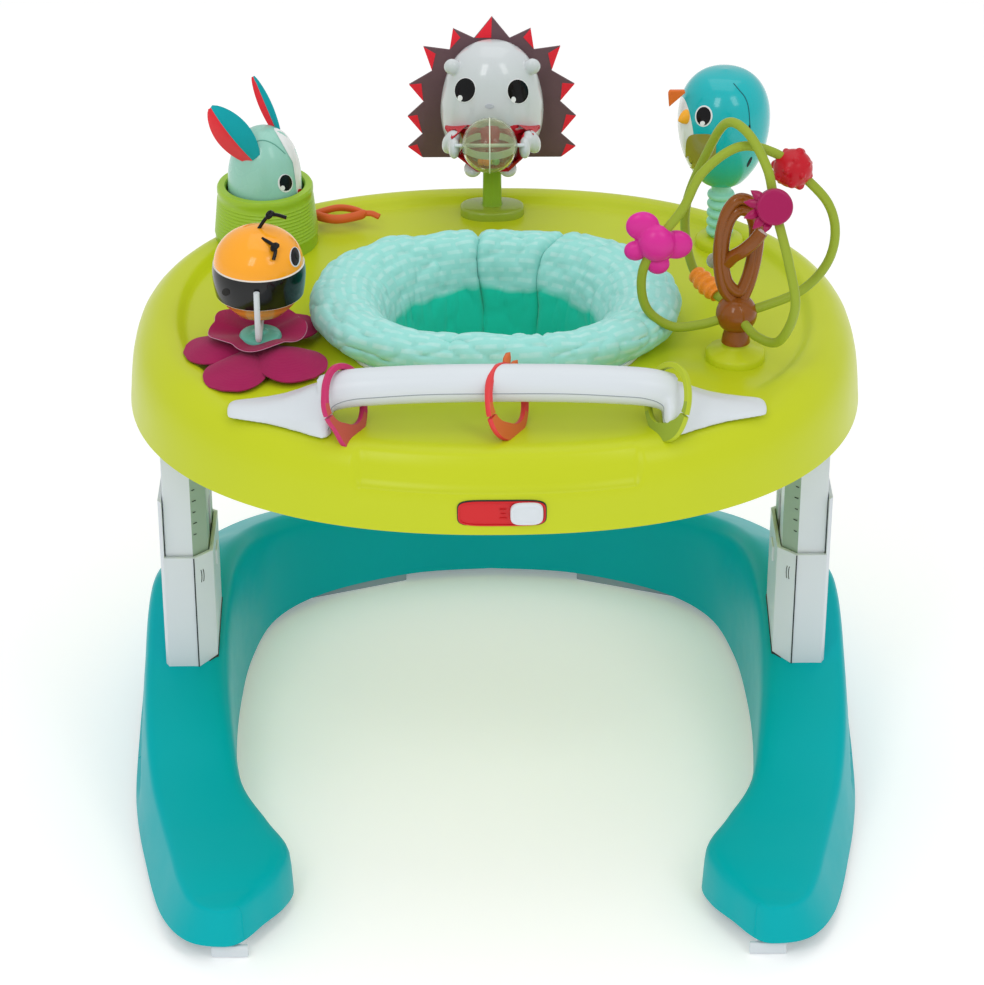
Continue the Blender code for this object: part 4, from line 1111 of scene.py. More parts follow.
# ---------------------------------------------------------------- bee and flower
def petal(name, centre, degrees, length, width, low, rise, material, seed):
    """One cloth petal: a rounded lobe, domed along its middle and drooping at its tip."""
    heading = Vector((math.cos(math.radians(degrees)), math.sin(math.radians(degrees)), 0.0))
    side = Vector((-heading.y, heading.x, 0.0))
    rows, columns = 22, 21
    points = []
    for r in range(rows):
        t = r / (rows - 1)
        wide = width * (1 - max((t - 0.62) / 0.38, 0.0) ** 2.2) ** 0.5
        wide *= 0.35 + 0.65 * between(0.0, 0.62, t)
        for c in range(columns):
            u = 2 * c / (columns - 1) - 1
            spot = centre + heading * (length * t) + side * (wide * u)
            dome = rise * (1 - u * u) * math.sin(math.pi * min(t * 1.05, 1.0))
            ripple = 0.0018 * noise.noise(Vector((spot.x * 45, spot.y * 45, seed * 7.3))) * t
            points.append((spot.x, spot.y, low + dome + ripple - 0.002 * t * t))
    made = solid(name, points, sheet_faces(rows, columns), material, 70.0)
    modified(made, "SOLIDIFY", thickness=0.0014, offset=1.0)
    return smoothed(made, 60.0)


def make_flower(cloth_material, thread):
    """Five loose petals under a round inner flower with piping."""
    centre = Vector((-0.2130, -0.0660, 0.0))
    rows = ((186, 0.0660, 0.0270, 0.4620, 0.0060), (250, 0.0800, 0.0275, 0.4600, 0.0075),
            (315, 0.0760, 0.0310, 0.4620, 0.0080), (55, 0.0740, 0.0280, 0.4640, 0.0050),
            (104, 0.0720, 0.0270, 0.4640, 0.0050))
    petals = [petal("petal", centre, *row, cloth_material, k) for k, row in enumerate(rows)]
    outer = settled(joined("flower_outer", petals), "tray", "flower_cloth", "flower_petals")

    centre = Vector((-0.2130, -0.0520, 0.0))
    columns = 90
    rings = []
    for r in range(12):
        t = r / 11
        ring = []
        for i in range(columns):
            a = 2 * math.pi * i / columns
            reach = 0.0390 + 0.0060 * abs(math.cos(2.5 * a + 0.6)) ** 0.7
            lift = 0.4680 + 0.0075 * t ** 1.6 + 0.0022 * t * math.sin(5 * a + 0.9)
            ring.append(centre + Vector((reach * t * math.cos(a), reach * t * math.sin(a),
                                         lift)))
        rings.append(ring)
    inner = solid("flower_inner", *skin(rings, capped=False), cloth_material, 70.0)
    modified(inner, "SOLIDIFY", thickness=0.0012, offset=1.0)
    smoothed(inner, 60.0)
    settled(inner, "tray", "flower_cloth")
    edge = swept("flower_piping", rings[-1], 0.00035, thread, sides=8, closed=True)
    settled(edge, "tray", "flower_cloth")


def make_bee(palette):
    """Ball on a yoke over its stand, with face inlays and two knotted feelers."""
    x, y, z = BEE
    floor = TRAY_TOP - DECK_DROP
    stand = turned("bee_knob", [(0.0, floor), (0.009, floor), (0.009, 0.4655), (0.0150, 0.4670),
                                (0.0185, 0.4690), (0.0190, 0.4715), (0.0175, 0.4745),
                                (0.0130, 0.4760), (0.0070, 0.4765), (0.0050, 0.4780),
                                (0.0, 0.4785)], (x, y - 0.014, 0.0), palette["mint"], soft=4)
    settled(stand, "tray", "mint_plastic", "bee_stand")
    arm = BEE_R + 0.0035
    path = [(x, y - arm, z), (x, y - arm, 0.497), (x, y - arm + 0.005, 0.4815),
            (x, y - 0.020, 0.4790), (x, y + 0.020, 0.4790), (x, y + arm - 0.005, 0.4815),
            (x, y + arm, 0.497), (x, y + arm, z)]
    yoke = swept("bee_arms", smooth_path(path, 8), 0.0027, palette["white"], sides=14)
    settled(yoke, "tray", "white_plastic", "bee_yoke", "bee_axle")
    orange, black, white = (252, 168, 38), (9, 11, 13), (228, 224, 214)
    skin_material = banded("bee_plastic", (orange, white, black, white, orange),
                           (z - 0.0217, z - 0.0210, z + 0.0078, z + 0.0088))
    profile = [(0.0, -0.0445), (0.0120, -0.0435), (0.0230, -0.0385), (0.0320, -0.0290),
               (0.0378, -0.0213), (0.0392, -0.0210), (0.0406, -0.0130), (0.0415, -0.0040),
               (0.0415, 0.0030), (0.0408, 0.0078), (0.0398, 0.0084)]
    profile += [(0.0398 * math.cos(a), 0.0082 + 0.0333 * math.sin(a))
                for a in (math.pi / 2 * (k + 0.5) / 16 for k in range(16))]
    profile.append((0.0, 0.0415))
    ball = turned("bee_ball", profile, BEE, skin_material, sides=96, sharp=50)
    settled(ball, "bee", "orange_plastic", "bee_body")
    tree = tree_of(ball)
    parts = [patch("eye_rim", tree, oval((-0.1762, -0.075, 0.5559), 0.0047, 0.0098),
                   palette["white"], 0.0003),
             patch("eye", tree, oval((-0.1764, -0.075, 0.5562), 0.0036, 0.0088),
                   palette["black"], 0.0006),
             patch("dimple", tree, oval((-0.238, -0.075, 0.5218), 0.0034, 0.0036),
                   palette["matt_black"], 0.0003)]
    settled(joined("bee_face", parts), "bee", "orange_plastic")
    feelers = []
    rows = (((-0.2088, -0.075, 0.5882), (-0.1985, -0.075, 0.5990), (-0.1844, -0.075, 0.5974)),
            ((-0.2041, -0.075, 0.5746), (-0.1950, -0.075, 0.5630), (-0.1963, -0.075, 0.5524)))
    for root, knot, end in rows:
        spots = [landed(tree, root, -0.001), landed(tree, knot, 0.005), landed(tree, end, 0.004)]
        if root == rows[0][0]:
            spots = [Vector((-0.2095, -0.0480, 0.5695)), Vector((-0.1985, -0.0480, 0.5838)),
                     Vector((-0.1840, -0.0480, 0.5812))]
        feelers.append(swept("cord", smooth_path(spots, 8), 0.0017, palette["black"], sides=10))
        turn = []
        for k in range(25):
            a = 2 * math.pi * k / 24 * 1.6
            turn.append(spots[1] + Vector((0.0026 * math.cos(a), 0.0022 * math.sin(a),
                                           0.0020 * math.sin(a * 1.25))))
        feelers.append(swept("knot", turn, 0.0017, palette["black"], sides=10))
    settled(joined("bee_feelers", feelers), "bee", "orange_plastic")


# ---------------------------------------------------------------- rabbit
def make_rabbit(palette):
    """Ribbed cup, egg-shaped head with a face, ears and the teether loop."""
    x, y = RABBIT
    floor = TRAY_TOP - DECK_DROP
    profile = [(0.0, floor), (0.0485, floor), (0.0488, floor + 0.003)]
    for k in range(11):
        low = 0.4640 + 0.0034 * k
        radius = 0.0486 - 0.0034 * k / 10
        profile += [(radius, low), (radius + 0.0007, low + 0.0012), (radius, low + 0.0024)]
    profile += [(0.0449, CUP_TOP - 0.0075), (0.0456, CUP_TOP - 0.0060),
                (0.0456, CUP_TOP - 0.0020), (0.0445, CUP_TOP), (0.0385, CUP_TOP),
                (0.0372, CUP_TOP - 0.0015), (0.0372, CUP_TOP - 0.0040),
                (0.0400, CUP_TOP - 0.0060), (0.0430, floor + 0.004), (0.0, floor + 0.004)]
    cup = turned("rabbit_pot", profile, (x, y, 0.0), palette["cup_green"], sides=96, sharp=45)
    settled(cup, "tray", "green_plastic", "rabbit_cup")
    profile = [(0.0, 0.486), (0.0300, 0.486), (0.0345, 0.500), (0.0350, 0.515), (0.0335, 0.532),
               (0.0285, 0.549), (0.0200, 0.562), (0.0100, 0.5685), (0.0, 0.5700)]
    head = turned("rabbit_egg", profile, (x, y, 0.0), palette["mint_toy"], sides=96, soft=5)
    settled(head, "rabbit", "mint_plastic", "rabbit_head")
    tree = tree_of(head)
    strip = upright(0.16, (
        (-0.2050, 0.5745), (-0.1985, 0.5640), (-0.1925, 0.5520), (-0.1880, 0.5400),
        (-0.1862, 0.5280), (-0.1858, 0.5130), (-0.1840, 0.5040), (-0.1800, 0.5040),
        (-0.1798, 0.5200), (-0.1806, 0.5360), (-0.1838, 0.5500), (-0.1895, 0.5620),
        (-0.1970, 0.5720)))
    eye = (-0.1960, 0.16, 0.5187)
    parts = [patch("strip", tree, [tuple(p) for p in smooth_path(strip, 4, closed=True)],
                   palette["white_toy"], 0.0005),
             patch("eye_rim", tree, oval(eye, 0.0070, 0.0095), palette["white_toy"], 0.0004),
             patch("eye", tree, oval((eye[0] + 0.0003, 0.16, eye[2] + 0.0006), 0.0058, 0.0083),
                   palette["black"], 0.0007),
             patch("glint", tree, oval((eye[0] - 0.0028, 0.16, eye[2] - 0.0046), 0.0019, 0.0024),
                   palette["white_toy"], 0.0010),
             patch("nose", tree, oval((-0.1828, 0.16, 0.5105), 0.0020, 0.0024),
                   palette["red_toy"], 0.0010)]
    brow = upright(0.16, ((-0.2285, 0.5560), (-0.2210, 0.5620), (-0.2130, 0.5625),
                          (-0.2040, 0.5580), (-0.1950, 0.5490)))
    flap = line_on("flap", tree, brow, 0.0006, palette["mint_edge"])
    settled(joined("rabbit_face", [*parts, flap]), "rabbit", "mint_plastic")

    ears = (("near", (-0.2250, 0.1500, 0.5490), (-0.2620, 0.1480, 0.6020), 0.0165, 1),
            ("far", (-0.2020, 0.1800, 0.5590), (-0.2250, 0.1960, 0.6120), 0.0062, -1))
    for word, root, tip, wide, turn in ears:
        make_ear(word, Vector(root), Vector(tip), wide, turn, palette)

    loop = [(-0.1700, 0.2040, 0.4655), (-0.1600, 0.2110, 0.4665), (-0.1480, 0.2155, 0.4670),
            (-0.1350, 0.2130, 0.4665), (-0.1250, 0.2050, 0.4655), (-0.1350, 0.1985, 0.4650),
            (-0.1480, 0.1940, 0.4650), (-0.1600, 0.1965, 0.4650)]
    strap = swept("strap", smooth_path(loop, 8, closed=True), 0.0044, palette["orange_soft"],
                  sides=14, closed=True, flat=0.75)
    tail = swept("tail", smooth_path([(-0.1260, 0.2050, 0.4655), (-0.1170, 0.2045, 0.4660),
                                      (-0.1090, 0.2010, 0.4640)], 6), 0.0030,
                 palette["orange_soft"], sides=12, flat=0.6)
    tie = egg("tie", (-0.1240, 0.2050, 0.4660), (0.0034, 0.0040, 0.0034),
              palette["orange_soft"])
    settled(joined("teether_strap", [strap, tail, tie]), "tray", "orange_plastic",
            "teether_loop")


def make_ear(word, root, tip, wide, turn, palette):
    """A cloth ear: a folded leaf with one side in another colour."""
    up = (tip - root).normalized()
    side = Vector((up.z, 0.0, -up.x)).normalized()
    out = side.cross(up)
    rows, columns = 24, 15
    points = []
    for r in range(rows):
        t = r / (rows - 1)
        reach = wide * math.sin(math.pi * min(0.10 + 0.89 * t, 1.0)) ** 0.60
        for c in range(columns):
            u = 2 * c / (columns - 1) - 1
            fold = 0.45 * reach * (1 - abs(u))
            spot = root.lerp(tip, t) + side * (reach * u) + out * (turn * fold)
            spot += out * (0.0015 * math.sin(3.0 * t + u * 2.0))
            points.append(spot)
    made = solid("ear_" + word, points, sheet_faces(rows, columns), palette["ear_teal"], 70.0)
    made.data.materials.append(palette["ear_red"])
    for face in made.data.polygons:
        if (face.center - root).dot(side) < -0.0002:
            face.material_index = 1
    modified(made, "SOLIDIFY", thickness=0.0013, offset=0.0)
    smoothed(made, 60.0)
    settled(made, "rabbit", "ear_cloth", "rabbit_ear_" + word)


# ---------------------------------------------------------------- hedgehog
SPIKES = ((0.0670, 0.4975), (0.0815, 0.5090), (0.0670, 0.5225), (0.0815, 0.5410),
          (0.0657, 0.5563), (0.0797, 0.5742), (0.0573, 0.5880), (0.0655, 0.6133),
          (0.0403, 0.6097), (0.0370, 0.6315), (0.0170, 0.6215), (0.0000, 0.6435))


def make_hedgehog(palette):
    """Stalk, body with arms and ears, face, back shell and the sheet of spines."""
    x, y = HOG
    floor = TRAY_TOP - DECK_DROP
    plan = [rounded_outline(rx, ry, 2.4, 64, (x, y - 0.012))
            for rx, ry in ((0.0310, 0.0200), (0.0310, 0.0200), (0.0300, 0.0190),
                           (0.0280, 0.0172))]
    rings = [[(*p, h) for p in ring] for ring, h in zip(plan, (floor, 0.4590, 0.4605, 0.4612))]
    pad = solid("hedgehog_pad", *skin(rings), palette["pad_green"], 40.0)
    settled(pad, "tray", "green_plastic", "hedgehog_stem")
    rings = []
    for height, rx, ry in ((0.4600, 0.0105, 0.0085), (0.4640, 0.0092, 0.0072),
                           (0.5044, 0.0088, 0.0070)):
        ring = []
        for px, py in rounded_outline(rx, ry, 3.0, 48, (x, y - 0.010)):
            crest = 0.0016 * math.exp(-((px - x) / 0.0016) ** 2) if py < y - 0.010 else 0.0
            ring.append((px, py - crest, height))
        rings.append(ring)
    settled(solid("hedgehog_stalk", *skin(rings), palette["stem_green"], 50.0), "tray",
            "green_plastic")

    profile = [(0.0, 0.5045), (0.022, 0.5055), (0.037, 0.5150), (0.0465, 0.5330),
               (0.0495, 0.5550), (0.0470, 0.5780), (0.0400, 0.6000), (0.0290, 0.6150),
               (0.0150, 0.6235), (0.0, 0.6260)]
    body = turned("body", profile, (x, y, 0.0), palette["shell"], sides=72, soft=4)
    body.data.transform(Matrix.Translation((0, y * 0.22, 0)) @ Matrix.Diagonal((1, 0.78, 1, 1)))
    parts = [body]
    for _, side in SIDES:
        parts.append(egg("ear", (x + side * 0.0380, y - 0.014, 0.6060),
                         (0.0080, 0.0055, 0.0080), palette["shell"]))
        parts.append(egg("arm", (x + side * 0.0385 - 0.001, y - 0.040, 0.5400),
                         (0.0080, 0.0095, 0.0135), palette["shell"], (20, side * -22, 0)))
        parts.append(egg("hand", (RATTLE.x + side * 0.0335, RATTLE.y + 0.008, RATTLE.z - 0.006),
                         (0.0056, 0.0095, 0.0105), palette["shell"], (-20, 0, 0)))
        parts.append(egg("foot", (x + side * 0.0170 - 0.002, y - 0.034, 0.5090),
                         (0.0085, 0.0120, 0.0070), palette["shell"]))
    made = merged("hedgehog_shell", parts, palette["shell"], 0.0013, 3)
    settled(made, "tray", "shell_plastic", "hedgehog_body")
    tree = tree_of(made)
    red = upright(0.19, (
        (-0.0483, 0.5655), (-0.0240, 0.5645), (0.0, 0.5640), (0.0240, 0.5645),
        (0.0481, 0.5655), (0.0482, 0.5620), (0.0380, 0.5590), (0.0300, 0.5560),
        (0.0265, 0.5450), (0.0256, 0.5248), (0.0150, 0.5160), (-0.0150, 0.5160),
        (-0.0256, 0.5248), (-0.0265, 0.5450), (-0.0300, 0.5560), (-0.0380, 0.5590),
        (-0.0484, 0.5620)))
    marks = [patch("belt", tree, red, palette["crimson"], 0.0009, 12)]
    for place, wide, turn in (((-0.0257, 0.21, 0.5916), 0.0094, 8),
                              ((0.0240, 0.21, 0.5899), 0.0096, -8)):
        marks.append(patch("eye_rim", tree, oval(place, wide + 0.0009, 0.0130, turn=-turn),
                           palette["white_toy"], 0.0004))
        marks.append(patch("eye", tree, oval(place, wide, 0.0121, turn=-turn),
                           palette["black"], 0.0008))
        glint = (place[0] - 0.0044, place[1], place[2] - 0.0082)
        marks.append(patch("glint", tree, oval(glint, 0.0022, 0.0030), palette["white_toy"],
                           0.0012))
    marks.append(patch("nose", tree, oval((-0.0028, 0.21, 0.5748), 0.0042, 0.0022),
                       palette["shell_shade"], 0.0012))
    settled(joined("hedgehog_face", marks), "tray", "shell_plastic")

    outline = [*SPIKES, *((-u, w) for u, w in SPIKES[-2::-1])]
    front = y + 0.0183
    back = y + 0.0207
    rings = [[(x + u, depth, w) for u, w in outline] for depth in (front, back)]
    panel = solid("spine_panel", *skin(rings), palette["spine"], 30.0)
    modified(panel, "BEVEL", width=0.0005, segments=2)
    smoothed(panel, 30.0)
    tips = []
    for _, side in SIDES:
        for k in range(1, len(SPIKES) - 1, 2):
            tip = Vector(SPIKES[k])
            low = Vector(SPIKES[k - 1])
            high = Vector(SPIKES[k + 1])
            root = low.lerp(high, 0.62)
            corner = low.lerp(tip, 0.04)
            middle = tip.lerp(root, 0.62)
            tips.append([(side * p.x, p.y) for p in (tip, corner, middle)])
    top = Vector(SPIKES[-1])
    tips.append([(top.x, top.y), (-0.0160, 0.6222), (-0.0006, 0.6222)])
    flags = []
    for plan in tips:
        for depth, shift in ((front, -0.0003), (back, 0.0003)):
            rows = [[(x + u, depth + shift, w) for u, w in plan],
                    [(x + u, depth - shift, w) for u, w in plan]]
            flags.append(solid("flag", *skin(rows), palette["spine_red"], 30.0))
    made = joined("hedgehog_spine_cloth", [panel, *flags])
    settled(made, "tray", "spine_cloth", "hedgehog_spines")
    settled(refined("hedgehog_back", "hedgehog_rear", palette["shell"], 0.0010), "tray",
            "shell_plastic", "hedgehog_back")
    settled(refined("hedgehog_belly", "belly_button", palette["crimson"], 0.0008), "belly",
            "red_plastic", "hedgehog_belly")


def make_rattle(palette):
    """Clear ball on its pin, with a pale belt and a few loose beads inside."""
    for word, side in SIDES:
        outer = [(RATTLE_R * math.cos(a), RATTLE_R * math.sin(a))
                 for a in (math.pi / 2 * k / 20 for k in range(21))]
        inner = [(r * 0.94, h * 0.94) for r, h in outer]
        ring = [(max(r, 0.0024), side * (h + 0.0001)) for r, h in outer + inner[::-1]]
        half = turned("rattle_half_" + word, ring, RATTLE, palette["clear"], axis="X",
                      sides=72, ring=True, sharp=60)
        settled(half, "rattle", "clear_plastic", "rattle_" + word)
    settled(refined("rattle_pin", "rattle_axle", palette["white"], 0.0003), "tray",
            "white_plastic", "rattle_pin")
    seam = turned("rattle_seam", [(RATTLE_R + 0.0003, -0.0006), (RATTLE_R + 0.0006, 0.0),
                                  (RATTLE_R + 0.0003, 0.0006), (RATTLE_R - 0.0004, 0.0)],
                  RATTLE, palette["clear_edge"], axis="X", sides=72, ring=True)
    settled(seam, "rattle", "clear_plastic")
    belt = turned("rattle_belt", [(0.0236, -0.0035), (0.0244, -0.0035), (0.0244, 0.0035),
                                  (0.0236, 0.0035)], RATTLE,
                  palette["belt"], sides=72, ring=True)
    settled(belt, "rattle", "clear_plastic")
    beads = []
    rows = (((-0.0080, -0.003, -0.0155), "bead_orange"), ((0.0060, -0.004, -0.0150), "bead_green"),
            ((0.0020, 0.004, -0.0180), "bead_yellow"), ((-0.0030, -0.010, -0.0130), "bead_orange"))
    for shift, colour in rows:
        beads.append(egg("bead", RATTLE + Vector(shift), (0.0036, 0.0036, 0.0036),
                         palette[colour]))
    settled(joined("rattle_beads", beads), "rattle", "clear_plastic")


# ---------------------------------------------------------------- bird
def make_bird(palette):
    """Bellows that blends from tray to bird, egg-shaped body, face, beak and crest."""
    x, y = BIRD
    floor = TRAY_TOP - DECK_DROP
    profile = [(0.0, floor), (0.0230, floor), (0.0230, 0.4580), (0.0205, 0.4605), (0.0120, 0.4615)]
    base = turned("bird_foot", [*profile, (0.0, 0.4620)], (x, y, 0.0), palette["lime"], sharp=50)
    settled(base, "tray", "lime_plastic")
    profile = [(0.0, 0.4600), (0.0090, 0.4600)]
    for k in range(5):
        low = 0.4620 + 0.0094 * k
        profile += [(0.0092, low), (0.0122, low + 0.0024), (0.0130, low + 0.0047),
                    (0.0122, low + 0.0070)]
    profile += [(0.0092, 0.5092), (0.0092, 0.5180), (0.0, 0.5185)]
    bellows = turned("bird_neck", profile, (x, y, 0.0), palette["bellows"], soft=3, sides=56)
    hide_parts("bird_bellows")
    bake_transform(bellows)

    profile = [(0.0, 0.5170), (0.0150, 0.5175), (0.0240, 0.5245), (0.0345, 0.5410),
               (0.0410, 0.5610), (0.0432, 0.5820), (0.0410, 0.6010), (0.0335, 0.6170),
               (0.0205, 0.6275), (0.0, 0.6315)]
    body = turned("bird_egg", profile, (x, y, 0.0), palette["bird"], sides=96, soft=5)
    form = bmesh.new()
    form.from_mesh(body.data)
    aside = Vector((-0.93, -0.20, -0.12)).normalized()
    cut_at = Vector((x, y, 0.575)) + aside * 0.0352
    bmesh.ops.bisect_plane(form, geom=form.verts[:] + form.edges[:] + form.faces[:],
                           plane_co=cut_at, plane_no=aside)
    for face in form.faces:
        if (face.calc_center_median() - cut_at).dot(aside) > 0:
            face.material_index = 1
    form.to_mesh(body.data)
    form.free()
    body.data.materials.append(palette["white_toy"])
    body.data.shade_smooth()
    settled(body, "bird", "bird_plastic", "bird_body")
    tree = tree_of(body)
    eye = (0.1951, 0.135, 0.5965)
    window = upright(0.135, rounded_outline(0.0140, 0.0175, 4.0, 40, (0.1935, 0.5610)))
    parts = [patch("window", tree, window, palette["window"], 0.0006),
             patch("eye_rim", tree, oval(eye, 0.0080, 0.0107), palette["white_toy"], 0.0005),
             patch("eye", tree, oval(eye, 0.0066, 0.0092), palette["black"], 0.0009),
             patch("glint", tree, oval((0.1945, 0.135, 0.5895), 0.0022, 0.0022),
                   palette["white_toy"], 0.0013)]
    edge = upright(0.135, ((0.2215, 0.6290), (0.2268, 0.6224), (0.2325, 0.6150),
                           (0.2362, 0.6040), (0.2382, 0.5854)))
    wing = line_on("wing", tree, edge, 0.0005, palette["bird_dark"])
    slots = [patch("slot", tree, oval((0.2372, 0.135, 0.5820), 0.0011, 0.0062, turn=-8),
                   palette["matt_black"], 0.0004),
             patch("slot", tree, oval((0.2390, 0.135, 0.5500), 0.0011, 0.0055, turn=-22),
                   palette["matt_black"], 0.0004)]
    settled(joined("bird_face", [*parts, wing, *slots]), "bird", "bird_plastic")

    root = landed(tree, (0.1785, 0.135, 0.5962), -0.002)
    front = Vector((math.cos(math.radians(212)), math.sin(math.radians(212)), 0.0))
    side = Vector((-front.y, front.x, 0.0))
    rings = []
    for k in range(12):
        t = k / 11
        wide = 0.0055 * (1 - t ** 2.2) + 0.0002
        rings.append([root + front * (0.0110 * t) + side * (wide * math.cos(a))
                      + Vector((0, 0, wide * 1.25 * math.sin(a) - 0.002 * t * t))
                      for a in (2 * math.pi * n / 20 for n in range(20))])
    settled(solid("bird_bill", *skin(rings), palette["beak"], 60.0), "bird", "orange_plastic",
            "bird_beak")
    plan = [(0.1622, 0.6100), (0.1610, 0.6235), (0.1625, 0.6262), (0.1760, 0.6262),
            (0.1770, 0.6240)]
    rings = [[(u, 0.135 + depth, w) for u, w in plan] for depth in (-0.0020, 0.0020)]
    crest = solid("bird_tuft", *skin(rings), palette["crest"], 30.0)
    crest.data.transform(Matrix.Translation((0, -0.0035, -0.0020)))
    modified(crest, "BEVEL", width=0.0007, segments=3)
    smoothed(crest, 40.0)
    settled(crest, "bird", "orange_plastic", "bird_crest")


# ---------------------------------------------------------------- bead maze
def make_maze(palette):
    """Stand with its knot, two tracks and the clear gem."""
    x, y, _ = MAZE
    floor = TRAY_TOP - DECK_DROP
    stand = turned("maze_foot", [(0.0, floor), (0.0268, floor), (0.0268, 0.4575),
                                 (0.0245, 0.4605), (0.0130, 0.4640), (0.0112, 0.4660),
                                 (0.0110, 0.4700), (0.0, 0.4700)], (x, y - 0.003, 0.0),
                   palette["lime"], sharp=50)
    settled(stand, "tray", "lime_plastic", "maze_stand")
    ball = egg("ball", MAZE, (0.0185, 0.0185, 0.0185), palette["brown"])
    foot = turned("foot", [(0.0, 0.4690), (0.0130, 0.4690), (0.0120, 0.4760), (0.0090, 0.4850),
                           (0.0, 0.4850)], (x, y - 0.003, 0.0), palette["brown"], sides=40)

    def rope(k, a):
        return 1.0 - 0.22 * math.exp(-((a - 4.2) / 0.22) ** 2) - 0.16 * math.exp(
            -((a - 5.4) / 0.22) ** 2)

    loop = [(0.2150, -0.0700, 0.5120), (0.2035, -0.0700, 0.5230), (0.1985, -0.0700, 0.5450),
            (0.1985, -0.0700, 0.5680), (0.2030, -0.0690, 0.5900), (0.2120, -0.0680, 0.6010),
            (0.2230, -0.0640, 0.5960), (0.2290, -0.0600, 0.5790), (0.2295, -0.0600, 0.5600),
            (0.2270, -0.0620, 0.5400), (0.2220, -0.0670, 0.5230)]
    strands = []
    for size in (0.88, 1.12):
        path = [Vector((0.2145 + (p.x - 0.2145) * size, p.y, 0.556 + (p.z - 0.556) * size))
                for p in smooth_path(loop, 8, closed=True)]
        strands.append(swept("ring", path, 0.0052, palette["brown"], sides=20, closed=True))
    strand = swept("strand", smooth_path([(0.2325, -0.0800, 0.5810), (0.2260, -0.0810, 0.5720),
                                          (0.2170, -0.0790, 0.5620), (0.2090, -0.0740, 0.5540),
                                          (0.2040, -0.0700, 0.5460)], 8), 0.0062,
                   palette["brown"], sides=24, wave=rope)
    made = joined("maze_knot", [ball, foot, *strands, strand])
    settled(made, "tray", "brown_plastic", "maze_ball")

    def crinkle(k, a):
        return 1.0 + 0.035 * math.sin(k * 1.9 + 2.0 * math.sin(a)) * noise.noise(
            Vector((k * 0.35, a, 0.0)))

    for name, track in (("maze_track_a", TRACK_A), ("maze_track_b", TRACK_B)):
        tube = swept(name.replace("maze_track", "maze_tube"), smooth_path(track, TRACK_STEPS), TUBE_R,
                     palette["tube"], sides=18, wave=crinkle)
        settled(tube, "tray", "track_plastic", name)
    gem = egg("maze_gem", (0.1935, -0.0560, 0.5410), (0.0070, 0.0070, 0.0070),
              palette["smoke"])
    settled(gem, "tray", "clear_plastic")
    make_beads(palette)


def make_beads(palette):
    """Butterfly, berry, flower disc and carrot."""
    rows = (((0.1283, -0.0740, 0.5838), 0.0150), ((0.1225, -0.0740, 0.5600), 0.0102),
            ((0.1578, -0.0740, 0.5658), 0.0150), ((0.1425, -0.0740, 0.5470), 0.0105))
    parts = [egg("wing", place, (size, 0.0062, size * 0.92), palette["pink"])
             for place, size in rows]
    parts.append(egg("body", (0.1410, -0.0780, 0.5690), (0.0165, 0.0110, 0.0170),
                     palette["pink"]))
    butterfly = merged("bead_butterfly_body", parts, palette["pink"], 0.0011, 2)
    settled(butterfly, "bead_butterfly", "pink_plastic", "bead_butterfly")

    centre = Vector((0.2580, -0.0675, 0.6355))
    parts = [egg("fruit", centre, (0.0172, 0.0165, 0.0172), palette["red_toy"])]
    golden = math.pi * (3 - math.sqrt(5))
    for k in range(20):
        w = 1 - 2 * (k + 0.5) / 20
        r = math.sqrt(1 - w * w)
        out = Vector((r * math.cos(golden * k), r * math.sin(golden * k), w))
        size = 0.0030 if k % 3 else 0.0042
        parts.append(egg("seed", centre + out * 0.0158, (size, size, size),
                         palette["red_toy"]))
    berry = merged("bead_berry_body", parts, palette["red_toy"], 0.0011, 1)
    settled(berry, "bead_berry", "red_plastic", "bead_berry")

    facing = Vector((0.0, -math.cos(math.radians(18)), math.sin(math.radians(18))))
    turn = facing.to_track_quat("Z", "Y").to_matrix().to_4x4()
    middle = Vector((0.2385, -0.1160, 0.6215))
    disc = turned("disc", [(0.0, -0.0060), (0.0125, -0.0060), (0.0152, -0.0048),
                           (0.0158, -0.0020), (0.0158, 0.0030), (0.0150, 0.0052),
                           (0.0125, 0.0060), (0.0, 0.0062)], (0, 0, 0), palette["magenta"],
                  soft=3, sides=72)
    disc.data.transform(Matrix.Translation(middle) @ turn)
    leaves = []
    heads = ((172, 0.0150), (200, 0.0165), (226, 0.0150), (146, 0.0130), (250, 0.0120))
    for degrees, length in heads:
        a = math.radians(degrees)
        along = turn.to_3x3() @ Vector((math.cos(a), math.sin(a), 0.0))
        side = turn.to_3x3() @ Vector((-math.sin(a), math.cos(a), 0.0))
        root = middle + along * 0.0115 - facing * 0.0015
        rings = []
        for k in range(8):
            t = k / 7
            wide = 0.0042 * math.sin(math.pi * (0.22 + 0.76 * t))
            rings.append([root + along * (length * t) + side * (wide * math.cos(b))
                          + facing * (0.0016 * math.sin(b) + 0.002 * math.sin(3 * t + degrees))
                          for b in (math.pi * n / 6 for n in range(12))])
        leaves.append(solid("leaf", *skin(rings), palette["magenta"], 60.0))
    settled(joined("bead_disc_body", [disc, *leaves]), "bead_disc", "magenta_plastic",
            "bead_disc")

    track = smooth_path(TRACK_B, TRACK_STEPS)
    at = 12 * TRACK_STEPS
    start, end = track[at - 1], track[at + 7]
    along = (end - start).normalized()
    side = along.orthogonal().normalized()
    up = along.cross(side)
    rings = []
    for k in range(49):
        t = k / 48
        wide = 0.0058 + 0.0034 * math.sin(math.pi * min(0.15 + 0.75 * t, 1.0))
        wide *= 1.0 + 0.09 * math.sin(2 * math.pi * 4 * t)
        rings.append([start.lerp(end, t) + side * (wide * math.cos(b)) + up * (wide * math.sin(b))
                      for b in (2 * math.pi * n / 28 for n in range(28))])
    settled(solid("bead_carrot_body", *skin(rings), palette["orange"], 60.0), "bead_carrot",
            "orange_plastic", "bead_carrot")


